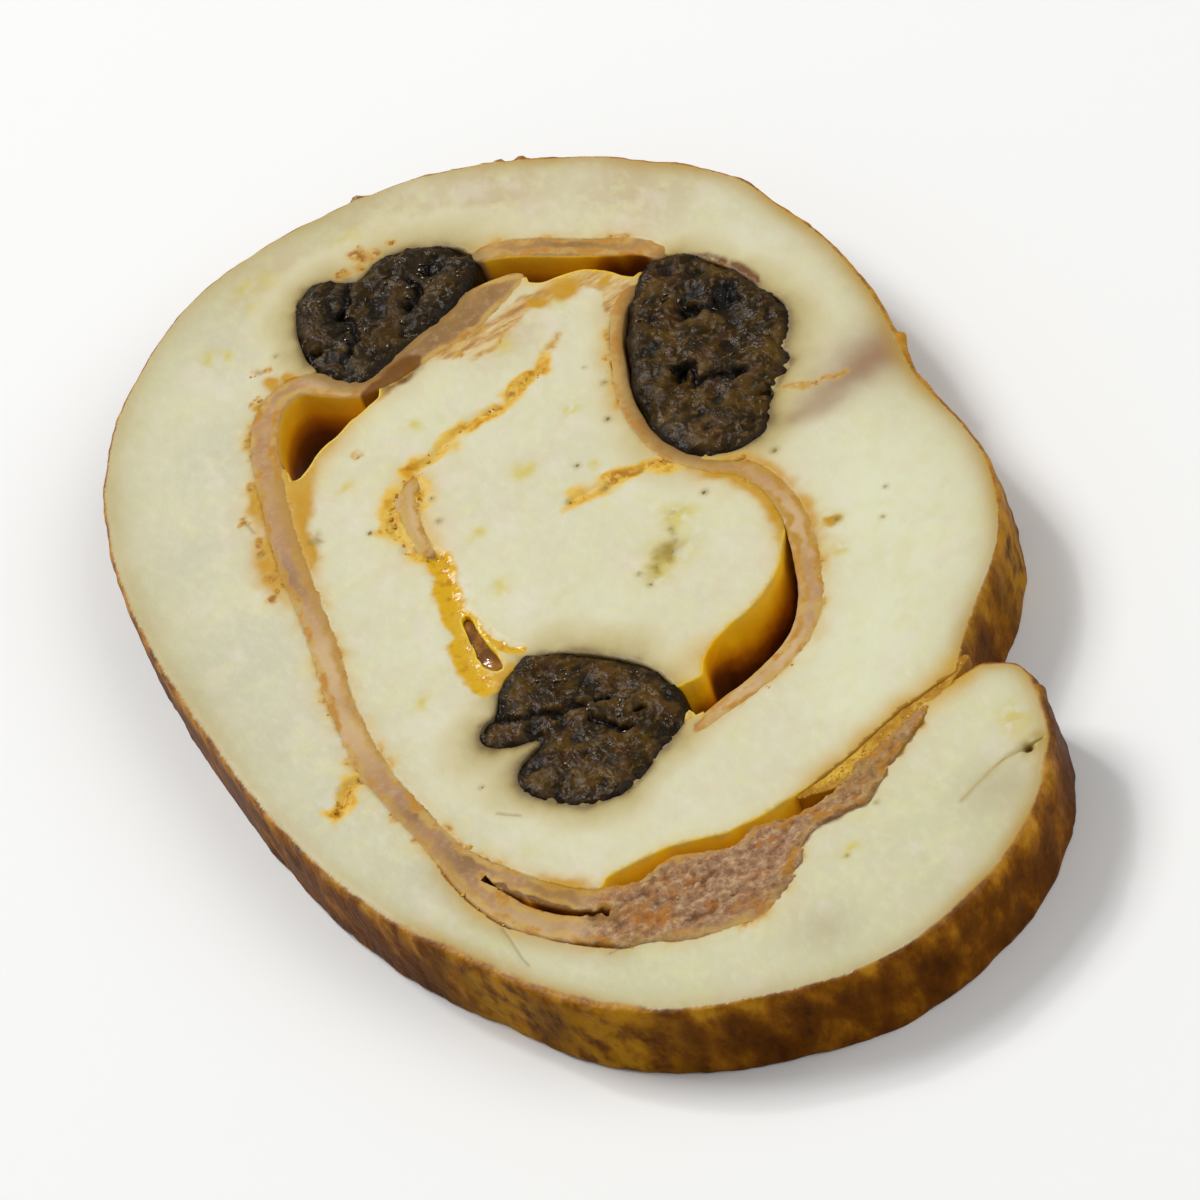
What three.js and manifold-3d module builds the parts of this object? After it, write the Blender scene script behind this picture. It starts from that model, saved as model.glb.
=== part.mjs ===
// A slice of turkey roll: a strip of turkey breast rolled up with ham and prunes, cut across.
// Millimetres, +Z up. The slice lies on its back face, and its box's bottom centre is the origin.
import * as THREE from 'three';
import { mergeVertices } from 'three/addons/utils/BufferGeometryUtils.js';
import Module from 'manifold-3d';

const wasm = await Module();
wasm.setup();

// Driving dimensions
const THICKNESS = 8;          // the slice, from its back face to its cut face
const GAP = 0.3;              // between a filling and the meat around it
const SKIN_STEP = 1.4;        // along the outer edge, from one point to the next
const FILL_STEP = 1.3;        // along a filling's edge
const EDGE_ROUND = 0.5;       // how far the skin's edge rolls in at each face
const SKIN_RELIEF = 0.35;     // depth of the dents in the skin
const PRUNE_RISE = 0.45;      // a prune's top above the cut face
const CREASE_SHARE = 0.3;     // a crease's depth, as a share of that rise
const CREASE = [4.8, 5.7];    // from one crease of a prune's top to the next, along x and y
const CRACK_DEPTH = 2;
const SEAM_DEPTH = 1;
const SEAM_WIDTH = 0.45;
const CRUMB_RADIUS = 1.2;
const CRUMB_STEP = 1.9;       // along the torn ham, from one crumb to the next
const CRUMB_HEIGHT = 0.4;     // as a share of its radius
const LEAST_POINTS = 4;       // along any line, however short
const PAST = 1;               // a cut runs this far past both faces

// Places on the cut face: x to the right, y away, from a point near the roll's middle.
// The meat's outer edge starts and ends in the notch between the roll and its loose end.
const MEAT_EDGE = [
  [19.6, -29.6], [23, -25.3], [29.4, -18.7], [32.5, -11], [33.1, -4.5], [32.5, 1.6], [33.5, 9],
  [34.2, 18.5], [33, 28], [30.8, 36.2], [26, 42.7], [20, 48.8], [12.4, 54], [4.6, 56.7],
  [-3, 57.2], [-12, 56.1], [-19, 51.8], [-25.2, 45.5], [-30, 36.5], [-32.7, 25], [-33.5, 10],
  [-32.9, -8], [-30.2, -21.5], [-26.4, -31], [-22, -39.8], [-16.5, -46], [-8, -51], [1, -53.5],
  [9.1, -51.9], [16.8, -47.8], [21.6, -42.2], [23.8, -36.8], [23.7, -32.3], [21.6, -30.4],
  [19.9, -30.1],
];

// Fillings that are strips: [x, y, width] along the middle of each.
const HAM_OUTER = [
  [10.6, 37.4, 1.4], [7.4, 37.1, 3.4], [3.8, 36, 3.3], [0, 35.3, 2.6], [-3, 34.9, 1.9],
  [-5.6, 35.4, 1.8], [-7.7, 37.7, 1.8], [-9.6, 39.4, 1.8], [-11.6, 39.2, 1.8], [-13.5, 37.7, 1.9],
  [-15.2, 34.8, 2], [-16.8, 29.5, 2], [-18.4, 24, 2], [-19.8, 16.5, 2], [-21.2, 9, 2],
  [-22.8, 2, 2], [-23.7, -5.6, 2.1], [-23.3, -13.5, 2.1], [-22.7, -19, 2], [-22.5, -24, 1.7],
  [-21.2, -28.5, 1.7], [-19, -32, 1.8], [-15.4, -35.8, 2.4],
];
const HAM_FOLD = [
  [-22.6, -18.6, 1.2], [-20.6, -23.2, 1.5], [-18.4, -27.6, 1.7], [-15.9, -30.9, 1.8],
  [-12.6, -33.4, 2],
];
const HAM_CRUMBLED = [
  [-14.5, -33.4], [-11.5, -32.6], [-8.6, -31.9], [-6.4, -33.2], [-3.8, -34.7], [-1.4, -33.8],
  [0.8, -35], [3.8, -35], [7.2, -33.8], [12, -32.4], [15.6, -31.2], [13, -33], [9.6, -34.9],
  [6.9, -37], [3.8, -36.6], [1, -37.1], [-0.6, -39.2], [-3, -41], [-5.4, -42.2], [-8.4, -41.4],
  [-11.2, -40.4], [-13.6, -38.4], [-16.4, -36.4],
];
const CRUMB_LINE = [[-12, -36.6], [-7, -37.4], [-3, -37.6], [2, -36], [8, -34.6]];
const HAM_TOP = [
  [9.6, 42.4, 1.2], [11.7, 41.6, 1.5], [14.4, 39.3, 1.6], [16.9, 37, 1.6], [19.3, 34.8, 1.5],
  [21.2, 33, 1.2], [21.9, 31.3, 0.9],
];
const HAM_INNER = [
  [18, 29.3, 0.7], [15.8, 27.6, 0.7], [14.1, 24.8, 0.7], [12.6, 20.9, 0.7], [11.5, 17.2, 0.8],
  [11.2, 12.5, 0.8], [12.2, 8.3, 0.8], [14, 5.4, 1.1], [16, 3.3, 1.5], [16.9, 0.2, 1.6],
  [17, -3.2, 1.6], [16.5, -6.4, 1.6], [15.4, -9.9, 1.6], [13.9, -13.6, 1.6], [11.8, -16.6, 1.6],
  [9.4, -18.2, 1.5], [5.8, -19.3, 1.4], [1.5, -20, 1.1], [-0.4, -20.5, 0.8],
];
const HAM_CORE = [[-7, 21.8, 0.8], [-8.4, 19.6, 1.3], [-9, 16.8, 1.2], [-9.3, 13.6, 0.8]];

// Fillings and hollows that are loops.
const PRUNE_TOP = [
  [-7.8, 41], [-7.5, 43.2], [-6.6, 46.2], [-5.2, 48.6], [-3.3, 49.4], [-1.7, 48.4], [-0.4, 47],
  [1.9, 47.9], [4.3, 47.6], [6.4, 46.3], [8.3, 44.6], [8.9, 42.8], [8.3, 40.8], [6.2, 39],
  [3.4, 37.8], [0, 37], [-2.4, 36.1], [-4.8, 35.6], [-6.6, 37.2],
];
const PRUNE_RIGHT = [
  [20.6, 30.6], [23, 30.1], [24.2, 28.2], [25.7, 25.2], [26.5, 21.8], [27.4, 18.3], [26.4, 15.4],
  [25.1, 13.4], [24.4, 11.3], [22.4, 9.9], [20.8, 8], [19.7, 6.2], [16.9, 5.6], [14.5, 6.7],
  [13, 8.8], [12.2, 11.4], [12.2, 14.4], [12.7, 17.4], [13.9, 20.7], [15.5, 24.6], [17.6, 27.9],
];
const PRUNE_LOWER = [
  [-8.4, -3.4], [-6.2, -4.4], [-4.2, -6.2], [-2.2, -8.7], [-0.5, -11.5], [0.1, -14.2],
  [0, -17.1], [-1.1, -19.3], [-3.3, -20.3], [-5.4, -21.6], [-7.8, -22.6], [-10.6, -22.2],
  [-12.6, -20.5], [-14.1, -18.4], [-14.8, -15.9], [-13.8, -13.9], [-11, -12.7], [-13.6, -11.6],
  [-15.2, -10.2], [-14.9, -8.2], [-13, -7.5], [-11.6, -5.3], [-10.1, -4.2],
];
const HOLLOWS = [
  [ // beside the top prune, inside the ham
    [-15, 31], [-14.6, 34.6], [-13, 37], [-11, 38.3], [-9.2, 37.4], [-6.6, 35.2], [-3.8, 34],
    [-6.2, 32.7], [-9.1, 31.8], [-12.3, 30.5], [-15, 29],
  ],
  [ // between the top and the right prune
    [9.2, 39.2], [10.4, 40.8], [12.6, 40], [15, 37.8], [17.6, 35.4], [20.2, 33.2], [21, 31.2],
    [19.4, 30.2], [17.4, 33], [15.4, 34.8], [12, 35.8], [11.2, 37.4],
  ],
  [ // round the end of the core
    [16, -0.6], [15.5, -4.6], [14.3, -7.6], [12, -10.2], [8.6, -11.8], [5.3, -12.8], [3.4, -14.3],
    [2.4, -15.9], [0, -15], [-0.4, -17.4], [1.4, -19.7], [5.6, -18.9], [9.2, -17.8],
    [11.3, -16.2], [13.4, -13.4], [14.9, -9.8], [16, -6.3], [16.5, -3.2],
  ],
  [ // under the roll, above the crumbled ham
    [-14.8, -30.6], [-11.5, -30.4], [-8, -30.7], [-5.8, -31.6], [-3.4, -32.6], [1, -32.9],
    [5.5, -32.6], [10, -31.4], [15.2, -30], [12.4, -33], [7, -34.5], [0, -35.6], [-4, -35.3],
    [-8, -33], [-12.6, -33.4],
  ],
];
const SLITS = [
  [[20.4, -29.8, 0.5], [17, -30.2, 0.5], [14, -31, 0.8]],
  [[-21.8, -21.6, 0.5], [-21, -24.4, 1], [-19.8, -28.2, 1.3], [-17.3, -31.7, 1.5], [-14.4, -34, 1]],
  [[-10.1, 4.8, 0.4], [-10.4, 1.6, 0.7], [-10.6, -1, 1.2], [-10.4, -2.6, 0.8]],
];
const SEAMS = [
  [[10.2, 28.2], [7.2, 26.2], [4.8, 25], [1.4, 23.9], [-2, 24.2], [-4.8, 23.4], [-6.8, 22]],
  [[-9.4, 13.2], [-9.8, 9], [-10.1, 5]],
  [[12, 8.7], [8.6, 9.3], [5.8, 9.8], [3, 10.8]],
];
const CRACK = [[12.5, -42.4, 0.15], [15.9, -41.2, 0.5], [19.2, -40.7, 0.5], [23.4, -40.9, 0.35]];

// Waves in the skin: heading in degrees, length in mm and share of the relief's depth.
const DENT_WAVES = [[20, 21, 0.3], [78, 13, 0.25], [131, 8.2, 0.25], [164, 5.6, 0.2]];
const DENT_SLANT = 0.6;

// A prune from the middle of its back face to that of its top: how far out towards its outline
// each ring reaches, from 0 to 1, and the ring's height.
const PRUNE_RINGS = [
  [0, 0], [0.5, 0], [0.93, 0], [1, 0.6], [1, THICKNESS - 0.8], [0.94, THICKNESS],
  [0.78, THICKNESS + 0.7 * PRUNE_RISE], [0.55, THICKNESS + 0.8 * PRUNE_RISE],
  [0.3, THICKNESS + 0.6 * PRUNE_RISE], [0, THICKNESS + 0.4 * PRUNE_RISE],
];

const meatFinish = { color: 0xdcd7b6, roughness: 0.55 };
const hamFinish = { color: 0xb98a72, roughness: 0.5 };
const pruneFinish = { color: 0x2f241a, roughness: 0.35 };

function curveThrough(places, closed = false) {
  const points = places.map(([x, y, width = 0]) => new THREE.Vector3(x, y, width));
  return new THREE.CatmullRomCurve3(points, closed, 'centripetal');
}

function along(curve, step) {
  return curve.getSpacedPoints(Math.max(LEAST_POINTS, Math.round(curve.getLength() / step)));
}

// A closed loop of points, anticlockwise, moved outwards by margin along its own normals.
function loopOf(places, margin = 0) {
  const points = along(curveThrough(places, true), FILL_STEP).slice(0, -1);
  if (THREE.ShapeUtils.isClockWise(points)) points.reverse();
  return points.map((point, i) => {
    const before = points[(i + points.length - 1) % points.length];
    const after = points[(i + 1) % points.length];
    const way = new THREE.Vector2(after.x - before.x, after.y - before.y).normalize();
    return new THREE.Vector2(point.x + margin * way.y, point.y - margin * way.x);
  });
}

// The outline of a strip from the middles and widths along it, with pointed ends.
function stripOf(places, margin = 0) {
  const middles = along(curveThrough(places), FILL_STEP);
  const wayAt = (i) => {
    const from = middles[Math.max(i - 1, 0)];
    const to = middles[Math.min(i + 1, middles.length - 1)];
    return new THREE.Vector2(to.x - from.x, to.y - from.y).normalize();
  };
  const side = (i, sign) => {
    const way = wayAt(i);
    const half = sign * (middles[i].z / 2 + margin);
    return new THREE.Vector2(middles[i].x - half * way.y, middles[i].y + half * way.x);
  };
  const endOf = (i, sign) => {
    const way = wayAt(i).multiplyScalar(sign * (middles[i].z / 2 + margin));
    return new THREE.Vector2(middles[i].x + way.x, middles[i].y + way.y);
  };
  const last = middles.length - 1;
  const right = middles.map((_, i) => side(i, -1));
  const left = middles.map((_, i) => side(i, 1)).reverse();
  return [...right, endOf(last, 1), ...left, endOf(0, -1)];
}

// The solid of a closed three.js geometry: shared corners merged, flat triangles dropped.
function solidOf(geometry) {
  const bare = geometry.clone();
  bare.deleteAttribute('normal');
  bare.deleteAttribute('uv');
  const merged = mergeVertices(bare, 1e-4);
  const corners = [...merged.index.array];
  const kept = [];
  for (let i = 0; i < corners.length; i += 3) {
    const [a, b, c] = corners.slice(i, i + 3);
    if (a !== b && b !== c && a !== c) kept.push(a, b, c);
  }
  return new wasm.Manifold(new wasm.Mesh({
    numProp: 3,
    vertProperties: new Float32Array(merged.attributes.position.array),
    triVerts: new Uint32Array(kept),
  }));
}

function slabOf(outline, from, to) {
  const slab = new THREE.ExtrudeGeometry(new THREE.Shape(outline), {
    depth: to - from,
    bevelEnabled: false,
  });
  slab.translate(0, 0, from);
  return solidOf(slab);
}

const fullCut = (outline) => slabOf(outline, -PAST, THICKNESS + PAST);
const fullSlab = (outline) => slabOf(outline, 0, THICKNESS);

// Only the largest body stays, without the scraps that a cut can leave.
function largestBody(solid) {
  const volume = (body) => body.volume();
  return solid.decompose().reduce((a, b) => (volume(b) > volume(a) ? b : a));
}

// How deep the skin is dented at a point, from 0 to 1: the sum of a few waves.
function dent(x, y, z) {
  return DENT_WAVES.reduce((depth, [heading, length, share]) => {
    const way = THREE.MathUtils.degToRad(heading);
    const run = x * Math.cos(way) + y * Math.sin(way) + DENT_SLANT * z;
    return depth + 0.5 * share * Math.sin((2 * Math.PI * run) / length);
  }, 0.5);
}

function meatBlank() {
  const edge = along(curveThrough(MEAT_EDGE), SKIN_STEP);
  const blank = new THREE.ExtrudeGeometry(new THREE.Shape(edge), {
    depth: THICKNESS - 2 * EDGE_ROUND,
    steps: 3,
    bevelThickness: EDGE_ROUND,
    bevelSize: EDGE_ROUND,
    bevelOffset: -EDGE_ROUND,
    bevelSegments: 2,
  });
  blank.translate(0, 0, EDGE_ROUND);
  const place = blank.attributes.position;
  for (let i = 0; i < place.count; i += 1) {
    const [x, y, z] = [place.getX(i), place.getY(i), place.getZ(i)];
    const inwards = (SKIN_RELIEF * dent(x, y, z)) / Math.hypot(x, y);
    place.setXY(i, x * (1 - inwards), y * (1 - inwards));
  }
  return solidOf(blank);
}

// A prune cut through: a lathe's rings, drawn out to the prune's own outline,
// with a creased top that stands a little above the cut face.
function pruneOf(places) {
  const outline = loopOf(places);
  const sum = outline.reduce((total, point) => total.add(point), new THREE.Vector2());
  const middle = sum.divideScalar(outline.length);
  const rings = PRUNE_RINGS.map(([reach, height]) => new THREE.Vector2(reach, height));
  const body = new THREE.LatheGeometry(rings, outline.length);
  const place = body.attributes.position;
  for (let i = 0; i < place.count; i += 1) {
    const ring = rings[i % rings.length];
    const rim = outline[Math.floor(i / rings.length) % outline.length];
    const at = middle.clone().lerp(rim, ring.x);
    const [alongX, alongY] = [(2 * Math.PI * at.x) / CREASE[0], (2 * Math.PI * at.y) / CREASE[1]];
    const wave = CREASE_SHARE * PRUNE_RISE * Math.sin(alongX) * Math.sin(alongY);
    place.setXYZ(i, at.x, at.y, ring.y + (ring.y > THICKNESS ? wave : 0));
  }
  return solidOf(body);
}

// Crumbs on the torn ham: low balls along its length, kept inside its outline.
function crumbs() {
  const draw = seeded(7);
  const inside = fullCut(loopOf(HAM_CRUMBLED));
  return along(curveThrough(CRUMB_LINE), CRUMB_STEP).map((middle) => {
    const ball = new THREE.SphereGeometry(CRUMB_RADIUS * (0.75 + 0.5 * draw()), 8, 6);
    ball.scale(1, 1, CRUMB_HEIGHT);
    ball.translate(middle.x, middle.y + 2 * CRUMB_RADIUS * (draw() - 0.5), THICKNESS);
    return solidOf(ball).intersect(inside);
  });
}

function seeded(start) {
  let state = start;
  return () => {
    state = (state * 16807) % 2147483647;
    return state / 2147483647;
  };
}

function meshOf(name, solid, finish) {
  const { vertProperties, triVerts, numProp } = solid.getMesh();
  const geometry = new THREE.BufferGeometry();
  const places = new Float32Array((vertProperties.length / numProp) * 3);
  for (let i = 0; i < places.length; i += 1) {
    places[i] = vertProperties[Math.floor(i / 3) * numProp + (i % 3)];
  }
  geometry.setAttribute('position', new THREE.BufferAttribute(places, 3));
  geometry.setIndex(new THREE.BufferAttribute(new Uint32Array(triVerts), 1));
  geometry.computeVertexNormals();
  const mesh = new THREE.Mesh(geometry, new THREE.MeshStandardMaterial({ metalness: 0, ...finish }));
  mesh.name = name;
  return mesh;
}

const prunes = { prune_top: PRUNE_TOP, prune_right: PRUNE_RIGHT, prune_lower: PRUNE_LOWER };
const pruneCuts = Object.values(prunes).map((places) => fullCut(loopOf(places, GAP)));

function hamOf(parts) {
  const joined = parts.reduce((whole, part) => whole.add(part));
  return largestBody(pruneCuts.reduce((left, cut) => left.subtract(cut), joined));
}

function meat() {
  const fillings = [HAM_OUTER, HAM_FOLD, HAM_TOP, HAM_INNER, HAM_CORE];
  const cuts = [
    ...fillings.map((places) => fullCut(stripOf(places, GAP))),
    fullCut(loopOf(HAM_CRUMBLED, GAP)),
    ...pruneCuts,
    ...HOLLOWS.map((places) => fullCut(loopOf(places))),
    ...SLITS.map((places) => fullCut(stripOf(places))),
    slabOf(stripOf(CRACK), THICKNESS - CRACK_DEPTH, THICKNESS + PAST),
  ];
  for (const seam of SEAMS) {
    const outline = stripOf(seam.map(([x, y]) => [x, y, SEAM_WIDTH]));
    cuts.push(slabOf(outline, -PAST, SEAM_DEPTH));
    cuts.push(slabOf(outline, THICKNESS - SEAM_DEPTH, THICKNESS + PAST));
  }
  return largestBody(cuts.reduce((left, cut) => left.subtract(cut), meatBlank()));
}

const slice = new THREE.Group();
slice.add(meshOf('turkey', meat(), meatFinish));
slice.add(meshOf('ham_outer', hamOf([
  fullSlab(stripOf(HAM_OUTER)),
  fullSlab(stripOf(HAM_FOLD)),
  fullSlab(loopOf(HAM_CRUMBLED)),
  ...crumbs(),
]), hamFinish));
slice.add(meshOf('ham_top', hamOf([fullSlab(stripOf(HAM_TOP))]), hamFinish));
slice.add(meshOf('ham_inner', hamOf([fullSlab(stripOf(HAM_INNER))]), hamFinish));
slice.add(meshOf('ham_core', hamOf([fullSlab(stripOf(HAM_CORE))]), hamFinish));
for (const [name, places] of Object.entries(prunes)) {
  slice.add(meshOf(name, pruneOf(places), pruneFinish));
}

// The box's bottom centre becomes the origin.
const box = new THREE.Box3().setFromObject(slice);
const centre = box.getCenter(new THREE.Vector3());
slice.position.set(-centre.x, -centre.y, 0);
slice.updateMatrixWorld(true);

export default slice;
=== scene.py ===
"""A slice of turkey roll: meat, ham and prunes as cut, on a plain pale floor.

Every large piece is a cut slab. Its plan is the outline of its CAD node at half height, its top
and its back are heights over that plan, and its wall is a profile carried round the outline.
Crumbs, herb flecks, golden crust and the jelly lie on the cut face and in its gaps.
Lengths are in millimetres up to the moment a mesh is made.
"""

import bmesh
import bpy
import numpy as np
from mathutils import Matrix, Vector
from mathutils.geometry import convex_hull_2d, delaunay_2d_cdt


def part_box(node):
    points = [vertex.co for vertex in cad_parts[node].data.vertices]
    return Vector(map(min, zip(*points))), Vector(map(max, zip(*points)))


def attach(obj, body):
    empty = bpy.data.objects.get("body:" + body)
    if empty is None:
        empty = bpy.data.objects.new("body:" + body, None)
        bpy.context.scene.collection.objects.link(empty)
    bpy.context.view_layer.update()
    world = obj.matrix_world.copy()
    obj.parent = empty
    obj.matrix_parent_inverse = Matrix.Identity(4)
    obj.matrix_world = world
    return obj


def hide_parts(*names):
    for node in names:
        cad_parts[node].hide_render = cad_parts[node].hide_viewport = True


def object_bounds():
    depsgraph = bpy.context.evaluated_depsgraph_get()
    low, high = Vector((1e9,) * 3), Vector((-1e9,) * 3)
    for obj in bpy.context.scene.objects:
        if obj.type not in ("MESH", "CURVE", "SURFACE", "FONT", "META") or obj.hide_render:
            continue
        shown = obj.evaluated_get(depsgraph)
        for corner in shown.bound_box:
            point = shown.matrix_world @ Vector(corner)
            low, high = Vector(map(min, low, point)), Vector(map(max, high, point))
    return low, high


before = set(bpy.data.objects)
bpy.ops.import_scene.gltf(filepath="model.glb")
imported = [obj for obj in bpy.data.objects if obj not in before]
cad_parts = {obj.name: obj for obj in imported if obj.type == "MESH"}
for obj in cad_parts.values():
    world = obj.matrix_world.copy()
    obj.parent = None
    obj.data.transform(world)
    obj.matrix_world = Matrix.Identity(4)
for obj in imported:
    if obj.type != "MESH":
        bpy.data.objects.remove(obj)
cad_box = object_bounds()

MM = 0.001
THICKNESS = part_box("turkey")[1].z / MM
HALF_WAY = THICKNESS / 2
# The pieces stay a hair inside the box of the CAD part.
BOX_SIDES = [np.array(corner[:2]) / MM * 0.9995 for corner in cad_box]
CEILING = cad_box[1][2] / MM - 0.01
FACE = THICKNESS - 0.12       # the cut face's mean height, under the swells

# The camera: where it stands from the slice, and which way the picture's right side is.
CAMERA_WAY = Vector((-0.128, -0.717, 0.685))
PICTURE_RIGHT = Vector((0.852, -0.463, -0.2445))
CAMERA_DISTANCE = 0.918
LENS = 335
FLOOR_REACH = 4000.0          # how far the floor reaches to each side
ROOM_LIGHT = 0.32

# Places on the cut face are measured from the roll's middle, which lies here in the frame.
ROLL_MIDDLE = np.array([-0.355, -1.92])

# Seams where two turns of the meat touch, with paprika in them.
SEAMS = [
    [
        [7.9, 26.7], [6.4, 25.7], [4.6, 25], [3.6, 24.4], [1.2, 25], [-0.1, 24.9], [-1.9, 24.2],
        [-4.1, 23.2], [-6, 22.9], [-7, 20.7], [-7.6, 18.5],
    ],
    [[-8.7, 21.4], [-9.9, 19.8], [-10.6, 17.3], [-10.7, 15.1], [-9.9, 13.6], [-9.1, 12.2]],
    [[2.9, 10.2], [4.1, 10.3], [5.7, 9.6], [7.4, 9.6], [9, 9.4], [10.6, 9.1], [11.5, 8.4]],
    [[-28.2, -8.2], [-26.8, -6.8], [-25.7, -5.9], [-24.4, -6.7]],
]
FAINT_SEAMS = [
    [[22.6, 9.4], [24.2, 8.4], [26, 7.9], [27.7, 7.4]],
    [[10.5, 29], [9.4, 27.8], [7.9, 26.7]],
    [[6.8, 32], [5.2, 31.2], [4, 31.3]],
]
# The golden jelly runs down from the inner scrap of ham and forks round the slit.
JELLY = [
    [-9.1, 12.2], [-9.7, 8.5], [-10.5, 5.7], [-11.2, 3.3], [-11.8, 1.3], [-12.2, -1.2], [-12.3, -3.7],
]
JELLY_FORK = [[-9.9, 4.9], [-9.6, 2.6], [-9.4, 0.6], [-8.9, -0.6], [-8, -2.2]]
CRACK = [
    [21.3, -40.9], [20.2, -40.8], [19, -40.8], [17.8, -40.8], [16.5, -41.1], [15.1, -41.6], [13, -42.4],
]
SCRATCHES = [
    [[-22.8, -29], [-22.8, -30.8], [-22.9, -32.8], [-22.8, -34.1]],
    [[-20.2, 28], [-20.1, 26]],
    [[-17.6, -17.5], [-16.2, -19]],
    [[-17, -37.5], [-15.8, -37.5]],
]

# Round marks on the cut face: place and radius.
PAPRIKA_SPOTS = [
    [-13.1, 39.9, 0.5], [-17.8, 30, 0.6], [1.5, 49.7, 1.1], [1.3, 48.4, 0.5], [-9.4, 27.9, 0.6],
    [-18, 27.5, 0.45], [-18.7, 25.8, 0.4], [-20.7, 23.2, 0.6], [-21, 19.8, 0.5], [-20.8, 18.9, 0.5],
    [-21.5, 18.2, 0.6], [-9.4, 20.2, 0.5], [-10.6, 16.6, 0.5], [-26.8, -6.8, 0.7], [-27.5, -7.7, 0.5],
    [-24.4, -12.2, 0.5], [-24.1, -15.6, 0.5], [-21.2, -19.3, 0.4], [-21.9, -25.7, 0.5],
    [-21.6, -28.6, 0.6], [-15.7, -34.4, 0.9], [-5.4, -41.2, 0.8], [-1.6, -39.3, 0.7], [20.4, 32.7, 0.8],
    [2.8, 32.8, 0.6], [-1.9, 34.1, 0.8], [25, 8, 0.5], [26.9, 7.5, 0.4], [4.7, -19.2, 0.5],
    [1.5, -19.8, 0.5], [-20.3, 27.5, 0.6], [-20.2, 24.5, 0.8], [-21.4, 20, 0.9], [-21.9, 17.7, 0.8],
    [-17.9, 30.9, 0.6], [-16.3, 34.2, 0.7], [-14, 39.8, 0.5], [-10.9, 42.7, 0.6], [-12.1, 43.3, 0.4],
    [-22, -19.3, 0.6], [-16.2, -32.1, 0.5], [0, -38.4, 0.8], [-6.5, -42.2, 0.9], [2.2, -19.4, 0.7],
    [-0.5, -18.9, 0.6], [19.2, -7.3, 0.5], [1, 50, 0.9], [0.7, 48.5, 1], [-0.9, 49, 0.9], [2.3, 49, 0.8],
    [4.1, 49.3, 0.7], [-24.5, -11.9, 0.6], [-24.1, -15.3, 0.7], [-25, -3.6, 0.5], [-21.4, -19.2, 0.5],
]
HERB_FLECKS = [
    [-11.7, 43, 0.3], [-9.7, 43.8, 0.25], [-16.3, 21.3, 0.38], [-7, 16, 0.36], [-6.4, 18.8, 0.25],
    [2.6, 10.3, 0.25], [6.9, -1.2, 0.3], [3.8, -3.2, 0.3], [3.6, -1.5, 0.25], [18.9, 3.4, 0.38],
    [19.4, -7.4, 0.4], [16.8, -7.8, 0.35], [11.2, 20.8, 0.3], [9.5, 16.7, 0.35], [5, 13.5, 0.3],
    [10.7, 23.6, 0.2], [12.1, 3.1, 0.35], [2.9, -41.4, 0.22], [9.7, -34.1, 0.35], [-17.4, -14, 0.25],
    [-12.3, 18.9, 0.3], [7.5, -37.9, 0.25], [24.3, -6.9, 0.25], [22.5, -9.8, 0.25], [5.7, 9.6, 0.45],
    [9, 9.4, 0.3], [-20.7, 23.2, 0.3],
]
YELLOW_PATCHES = [
    [-6.3, 52.6, 1.2], [-8.4, 50.5, 0.9], [-8.9, 47.3, 0.8], [-14.8, 48.2, 0.8], [-13.1, 47.5, 0.7],
    [1.5, 52, 1.4], [4.5, 51.3, 1.1], [-4, 27.7, 0.8], [-11.5, 25.1, 0.7], [-8.4, 53.3, 1],
    [1.3, 16.1, 0.9], [5.9, 13, 0.6], [8.1, 19.9, 0.8], [6.4, 31.2, 0.8], [11.5, 33.9, 1.3],
    [16.6, 29.6, 1.1], [-5.1, 12.5, 0.7], [-6.3, 5.5, 0.9], [9, 2.5, 1.4], [-5.4, -2.5, 0.9],
    [-1.8, -5.7, 1], [-17, -1.9, 0.6], [3.2, -40.9, 0.9], [23.1, 8.9, 1.6], [19.2, -7, 1],
    [6.3, -1.1, 2.2], [4.8, -2.1, 1.6], [8.8, 2, 1.5], [18.3, -10.5, 0.8], [20.7, -37.6, 1.8],
]
BLUSH_STROKE = [
    [34.8, 7, 3.8], [32.5, 7.1, 3.6], [30.3, 7.2, 3.1], [28.3, 7.1, 2.7], [26.3, 6.5, 2.3],
    [24.6, 6, 1.9], [23, 5.6, 1.4], [22, 5.4, 0.9],
]
FAINT_BLUSH = [[16, -43, 3], [-2, -47, 2.5]]
# Wide soft patches on the meat: warm and green tones, painted shade over the left side,
# and painted light over the lower right side.
MEAT_PATCHES = {
    # Painted shade over the left side.
    "shaded": [
        [-27, 12, 8], [-27.5, 2, 7], [-27, -8, 7], [-26, -18, 6], [-25, 27, 6], [-19, 36, 6],
        [-12, 48, 5],
    ],
    "warm": [[3, 51, 8], [14, 49, 7], [-6, 52, 6], [24, 40, 6], [24, 12, 5], [7, 33, 4]],
    "green": [[12, -44, 11], [-16, -42, 8], [-2, -47, 8], [-26, -28, 6]],
    # Painted light over the lower right side.
    "painted_light": [[24, -8, 8], [26, -16, 8], [18, -22, 8], [12, -26, 5]],
}
DULL_RIM = [[-34, 12, 8], [-31, 25, 8], [-26, 36, 8], [-19, 44, 8], [-10, 51, 8], [0, 56, 6]]
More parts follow.
